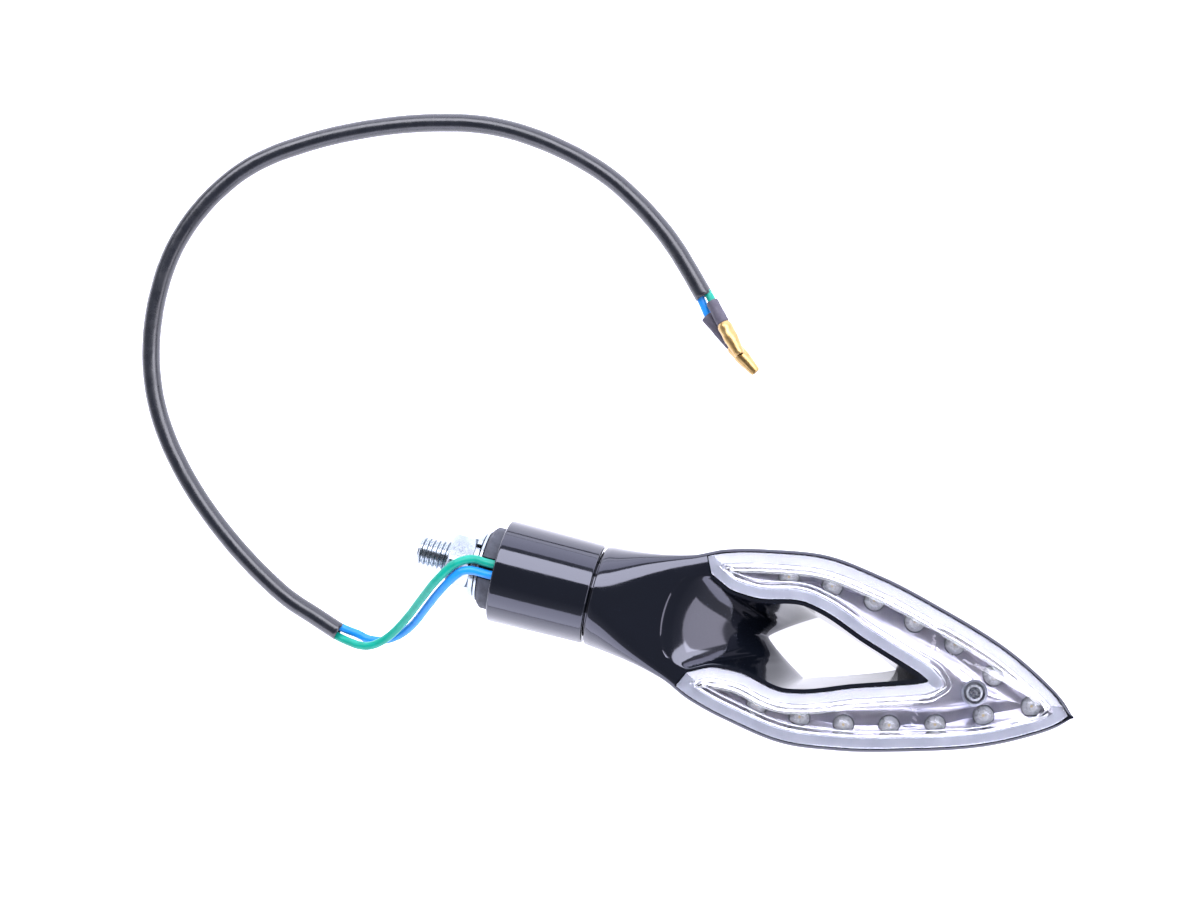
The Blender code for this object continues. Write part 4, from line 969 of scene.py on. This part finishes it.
def led_frame():
    """The tinned posts in the epoxy, one with its cup."""
    dish = spun([(0.15, 0.0), (0.15, 2.3), (0.75, 2.36), (0.75, 2.2), (0.35, 1.5), (0.35, 0.0)], 28, "Z")
    cup = spun([(1.5, 0.0), (1.5, 0.5), (2.5, 1.05), (2.5, 0.9), (1.9, 0.45), (1.9, 0.0)], 24, "Z")
    anvil = block((-0.7, -0.3, 0.3), (0.2, 0.3, 1.6))
    post = block((1.25, -0.25, 0.3), (1.75, 0.25, 2.2))
    return join([dish, cup, anvil, post])


def led_chip():
    return soften(block((-0.22, -0.22, 1.95), (0.22, 0.22, 2.2)), 0.04, 1)


def at_each_led(make):
    return join([move(make(), tilted(x, y, GAP), DECK_TURN) for x, y in led_places()])


TINNED = grained("tinned_steel", "#dfe2e8", "#f6f7fa", 0.5, (0.22, 0.38), 0.5, 0.01,
                 {"Metallic": 0.30})
PHOSPHOR = grained("phosphor_chip", "#d7a93a", "#f1cf66", 0.8, (0.50, 0.65), 0.8, 0.02, {})
led_nodes = [f"led_{k:02d}" for k in range(1, 2 * LEDS_PER_ARM + 2)]
piece("led_bullets", at_each_led(led_epoxy), EPOXY, "lamp", "clear_resin", *led_nodes)
piece("led_posts", at_each_led(led_frame), TINNED, "lamp", "chrome_reflector")
piece("led_chips", at_each_led(led_chip), PHOSPHOR, "lamp", "resistor_body")

# %% [markdown]
# ## Rubber plug, stud, washers and nut
# The rubber plug grips a flanged stud, and gives when the signal is knocked. The stud's thread
# is a ridge that climbs one pitch a turn, made from rings whose crest moves round.

# %% Rubber plug
def rubber_plug():
    inner = PLUG_FACE + PLUG_LENGTH
    recess = inner - STUD_FLANGE_THICKNESS - 1.0 - GAP
    outline = [(PLUG_FACE, STUD_RADIUS + GAP), (PLUG_FACE, PLUG_RADIUS - PLUG_CHAMFER),
               (PLUG_FACE + PLUG_CHAMFER, PLUG_RADIUS), (inner, PLUG_RADIUS),
               (inner, STUD_FLANGE_RADIUS + GAP), (recess, STUD_FLANGE_RADIUS + GAP),
               (recess, STUD_RADIUS + GAP)]
    side = LEAD_SIDE + WIRE_RADIUS + GAP
    notch = block((PLUG_FACE - 1.0, -side, LEAD_LIFT - WIRE_RADIUS - GAP),
                  (inner + 1.0, side, PLUG_RADIUS + 2.0))
    bm = carved(spun(rounded(outline, 0.25, 3), 96), [("DIFFERENCE", notch)])
    for along in np.arange(PLUG_FACE + 1.5, inner, 1.2):
        bmesh.ops.bisect_plane(bm, geom=bm.verts[:] + bm.edges[:] + bm.faces[:], plane_co=(along, 0, 0),
                               plane_no=(1, 0, 0))
    return bm


plug = piece("plug", rubber_plug(), RUBBER, None, "black_rubber", "base_plug")
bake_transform(plug)


# %% Threaded stud
def stud():
    segments, slices = 48, 14
    flange_end = PLUG_FACE + PLUG_LENGTH - 1.0
    flange_start = flange_end - STUD_FLANGE_THICKNESS
    threaded = PLUG_FACE - STUD_TIP + 1.5
    root = STUD_RADIUS - THREAD_DEPTH
    steps = round(threaded / THREAD_PITCH * slices)
    rings = []

    def ring(along, radius):
        rings.append([(along, radius(i) * math.cos(2 * math.pi * i / segments),
                       radius(i) * math.sin(2 * math.pi * i / segments)) for i in range(segments)])

    def thread(along):
        def radius(i):
            phase = ((along - STUD_TIP) / THREAD_PITCH + i / segments) % 1.0
            height = min(max(2.2 * abs(phase - 0.5) * 2 - 0.6, 0.0), 1.0)
            return min(STUD_RADIUS - THREAD_DEPTH * (1 - height), root * 0.92 + (along - STUD_TIP))
        return radius
    ring(STUD_TIP, lambda i: root * 0.92)
    for k in range(1, steps + 1):
        ring(STUD_TIP + threaded * k / steps, thread(STUD_TIP + threaded * k / steps))
    last = STUD_TIP + threaded
    for along, r in ((last + 0.4, STUD_RADIUS), (flange_start, STUD_RADIUS),
                     (flange_start, STUD_FLANGE_RADIUS - 0.2), (flange_start + 0.2, STUD_FLANGE_RADIUS),
                     (flange_end - 0.2, STUD_FLANGE_RADIUS), (flange_end, STUD_FLANGE_RADIUS - 0.2)):
        ring(along, lambda i, r=r: r)
    return skin(rings)


piece("threaded_stud", stud(), ZINC, "mount", "bright_zinc", "mounting_stud", sharp=32.0)


# %% Washers and nut
FLAT_LOW = PLUG_FACE - GAP - FLAT_WASHER_THICKNESS
SPRING_LOW = FLAT_LOW - GAP - SPRING_WASHER_THICKNESS
NUT_LOW = SPRING_LOW - GAP - NUT_HEIGHT


def ring_profile(low, high, inside, outside, radius):
    return rounded([(low, inside), (low, outside), (high, outside), (high, inside)], radius)


def spring_washer():
    half = SPRING_WASHER_SPLIT / 2
    cut = block((SPRING_LOW - 1.0, -half, 0.0), (SPRING_LOW + 3.0, half, SPRING_WASHER_RADIUS + 1.0))
    bmesh.ops.rotate(cut, verts=cut.verts, matrix=Matrix.Rotation(math.radians(-35), 3, "X"))
    ring = spun(ring_profile(SPRING_LOW, SPRING_LOW + SPRING_WASHER_THICKNESS, STUD_RADIUS + GAP,
                             SPRING_WASHER_RADIUS, 0.4), 96)
    return carved(ring, [("DIFFERENCE", cut)])


def hex_nut():
    corner = NUT_FLATS / 2 / math.cos(math.pi / 6)
    high = NUT_LOW + NUT_HEIGHT
    blank = bmesh.new()
    bmesh.ops.create_cone(blank, cap_ends=True, segments=6, radius1=corner, radius2=corner, depth=NUT_HEIGHT)
    bmesh.ops.rotate(blank, verts=blank.verts, matrix=Matrix.Rotation(math.pi / 2, 3, "Z"))
    bmesh.ops.rotate(blank, verts=blank.verts, matrix=Matrix.Rotation(math.pi / 2, 3, "Y"))
    bmesh.ops.translate(blank, vec=((NUT_LOW + high) / 2, 0, 0), verts=blank.verts)
    facing = lathe_tool([(NUT_LOW - 1.0, corner - 2.6), (NUT_LOW, corner - 1.1),
                         (NUT_LOW + 0.9, corner + 0.1), (high - 0.9, corner + 0.1),
                         (high, corner - 1.1), (high + 1.0, corner - 2.6)], 72, "X")
    bore = [(NUT_LOW - 0.1, STUD_RADIUS + 0.6), (NUT_LOW + 0.5, STUD_RADIUS + 0.15),
            (high - 0.5, STUD_RADIUS + 0.15), (high + 0.1, STUD_RADIUS + 0.6)]
    return soften(carved(blank, [("INTERSECT", facing), ("DIFFERENCE", lathe_tool(bore, 48, "X"))]), 0.12, 2)


piece("plain_washer", spun(ring_profile(FLAT_LOW, FLAT_LOW + FLAT_WASHER_THICKNESS, STUD_RADIUS + GAP,
                                        FLAT_WASHER_RADIUS, 0.2), 96),
      ZINC, "washers", "bright_zinc", "flat_washer")
piece("split_washer", spring_washer(), ZINC, "washers", "bright_zinc", "spring_washer")
piece("nut_m8", hex_nut(), ZINC, "nut", "bright_zinc", "hex_nut", sharp=25.0)

# %% [markdown]
# ## Screw at the back
# A small pan-head screw holds the lens from behind. It is turned, and its cross recess is
# carved with two crossed blocks.

# %% Lens screw
def pan_head_screw():
    at = BOSS_AT * HEAD_LENGTH
    floor = back_rule(at)(0.0)
    top = seat(at)
    body = lathe_tool([(floor, SCREW_HEAD_RADIUS * 0.7), (floor + 0.25, SCREW_HEAD_RADIUS * 0.9),
                       (floor + 0.7, SCREW_HEAD_RADIUS), (floor + SCREW_HEAD_HEIGHT, SCREW_HEAD_RADIUS),
                       (floor + SCREW_HEAD_HEIGHT, SCREW_RADIUS), (top - 1.0, SCREW_RADIUS),
                       (top, SCREW_RADIUS * 0.4)], 40, place=(at, 0, 0))
    arms = [("DIFFERENCE", block((at - a, -b, floor - 1.0), (at + a, b, floor + 1.0)))
            for a, b in ((1.35, 0.32), (0.32, 1.35))]
    return carved(body, arms)


def screw_insert():
    """A tinned bush moulded into the lens post, which the screw bites into."""
    at = BOSS_AT * HEAD_LENGTH
    low, high, bore = deck(at) + 0.6, seat(at) + INSERT_RISE, SCREW_RADIUS + 0.03
    wall = [(low, bore), (low, INSERT_RADIUS), (high, INSERT_RADIUS), (high, bore), (low, bore)]
    return move(spun(wall, 40, "Z"), (at, 0.0, 0.0))


piece("lens_fixing_screw", pan_head_screw(), STEEL, "lamp", "screw_steel", "lens_screw")
piece("screw_insert", screw_insert(), TINNED, "lamp", "screw_steel")

# %% [markdown]
# ## Far end: tails, sleeves and bullet terminals
# Each lead comes out of the sheath, goes into a grey sleeve and ends in a hollow brass bullet
# that pushes into a socket on the motorcycle.

# %% Tails and terminals
def aimed(bm, start, end):
    """Turn a part made along X from zero so that it runs from start to end, given in metres."""
    turn = Vector((1, 0, 0)).rotation_difference(end - start).to_matrix()
    return move(bm, Vector(start) / MM, turn)


BULLET_LENGTH = 9.6


def bullet_profile():
    """A bullet's outline as (along, radius): rolled mouth, barrel, step and hollow nose."""
    end = BULLET_LENGTH
    return [(0.0, 0.9), (0.0, 1.55), (0.35, 1.72), (0.8, 1.95), (1.5, 1.95), (1.9, 1.89),
            (2.6, 1.87), (3.2, 1.89), (3.6, 1.95), (end * 0.50, 1.95), (end * 0.55, 1.85),
            (end - 0.7, 1.42), (end - 0.2, 1.3), (end, 1.12), (end, 0.85), (end - 4.0, 0.8),
            (end - 4.0, 0.0)]


far_pieces = []
for colour, tail, look in (("green", GREEN_TAIL, GREEN), ("blue", BLUE_TAIL, BLUE)):
    mouth, sleeve_start, tip = laid(tail)
    along = (tip - sleeve_start).normalized()
    joint = tip - along * BULLET_LENGTH * MM
    inside = mouth - (laid(SHEATH_ROUTE)[-1] - laid(SHEATH_ROUTE)[-2]).normalized() * 5 * MM
    wire, _ = cord_curve(f"lead_tail_{colour}", [inside.lerp(laid(SHEATH_ROUTE)[-1], 0.25), mouth,
                                                  sleeve_start + along * 1.5 * MM], WIRE_RADIUS - 0.02, 9)
    wire.data.materials.append(look)
    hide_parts(f"tail_{colour}")
    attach(wire, "mount")
    length = (joint - sleeve_start).length / MM - GAP
    sleeve = spun([(0.0, 1.25), (0.0, 1.56), (0.5, 1.68), (length * 0.35, 1.6), (length * 0.6, 1.7),
                   (length, 1.7), (length + 0.25, 1.62), (length + 0.25, 1.3)], 40)
    far_pieces += [wire,
                   piece(f"shrink_sleeve_{colour}", aimed(sleeve, sleeve_start, joint), SHRINK, "mount",
                         "grey_heat_shrink", f"heat_shrink_{colour}", in_lamp=False),
                   piece(f"bullet_terminal_{colour}", aimed(spun(bullet_profile(), 40), joint, tip),
                         BRASS, "mount", "brass_terminal", f"bullet_{colour}", in_lamp=False)]

# %% [markdown]
# ## CAD pieces that keep their shape
# The board, the resistors, the diode and the leads inside the stem are hidden or nearly so.
# Their CAD shapes are right, and only need the proper finishes.

# %% Finishes on CAD nodes
for name, look in (("led_board", BOARD), ("resistor_left", RESISTOR), ("resistor_right", RESISTOR),
                   ("resistor_front", RESISTOR), ("diode", BLACK_EPOXY), ("inner_lead_green", GREEN),
                   ("inner_lead_blue", BLUE)):
    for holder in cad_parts[name].material_slots:
        holder.material = look
    print(name, "keeps its CAD shape, in", look.name)

bpy.context.view_layer.update()
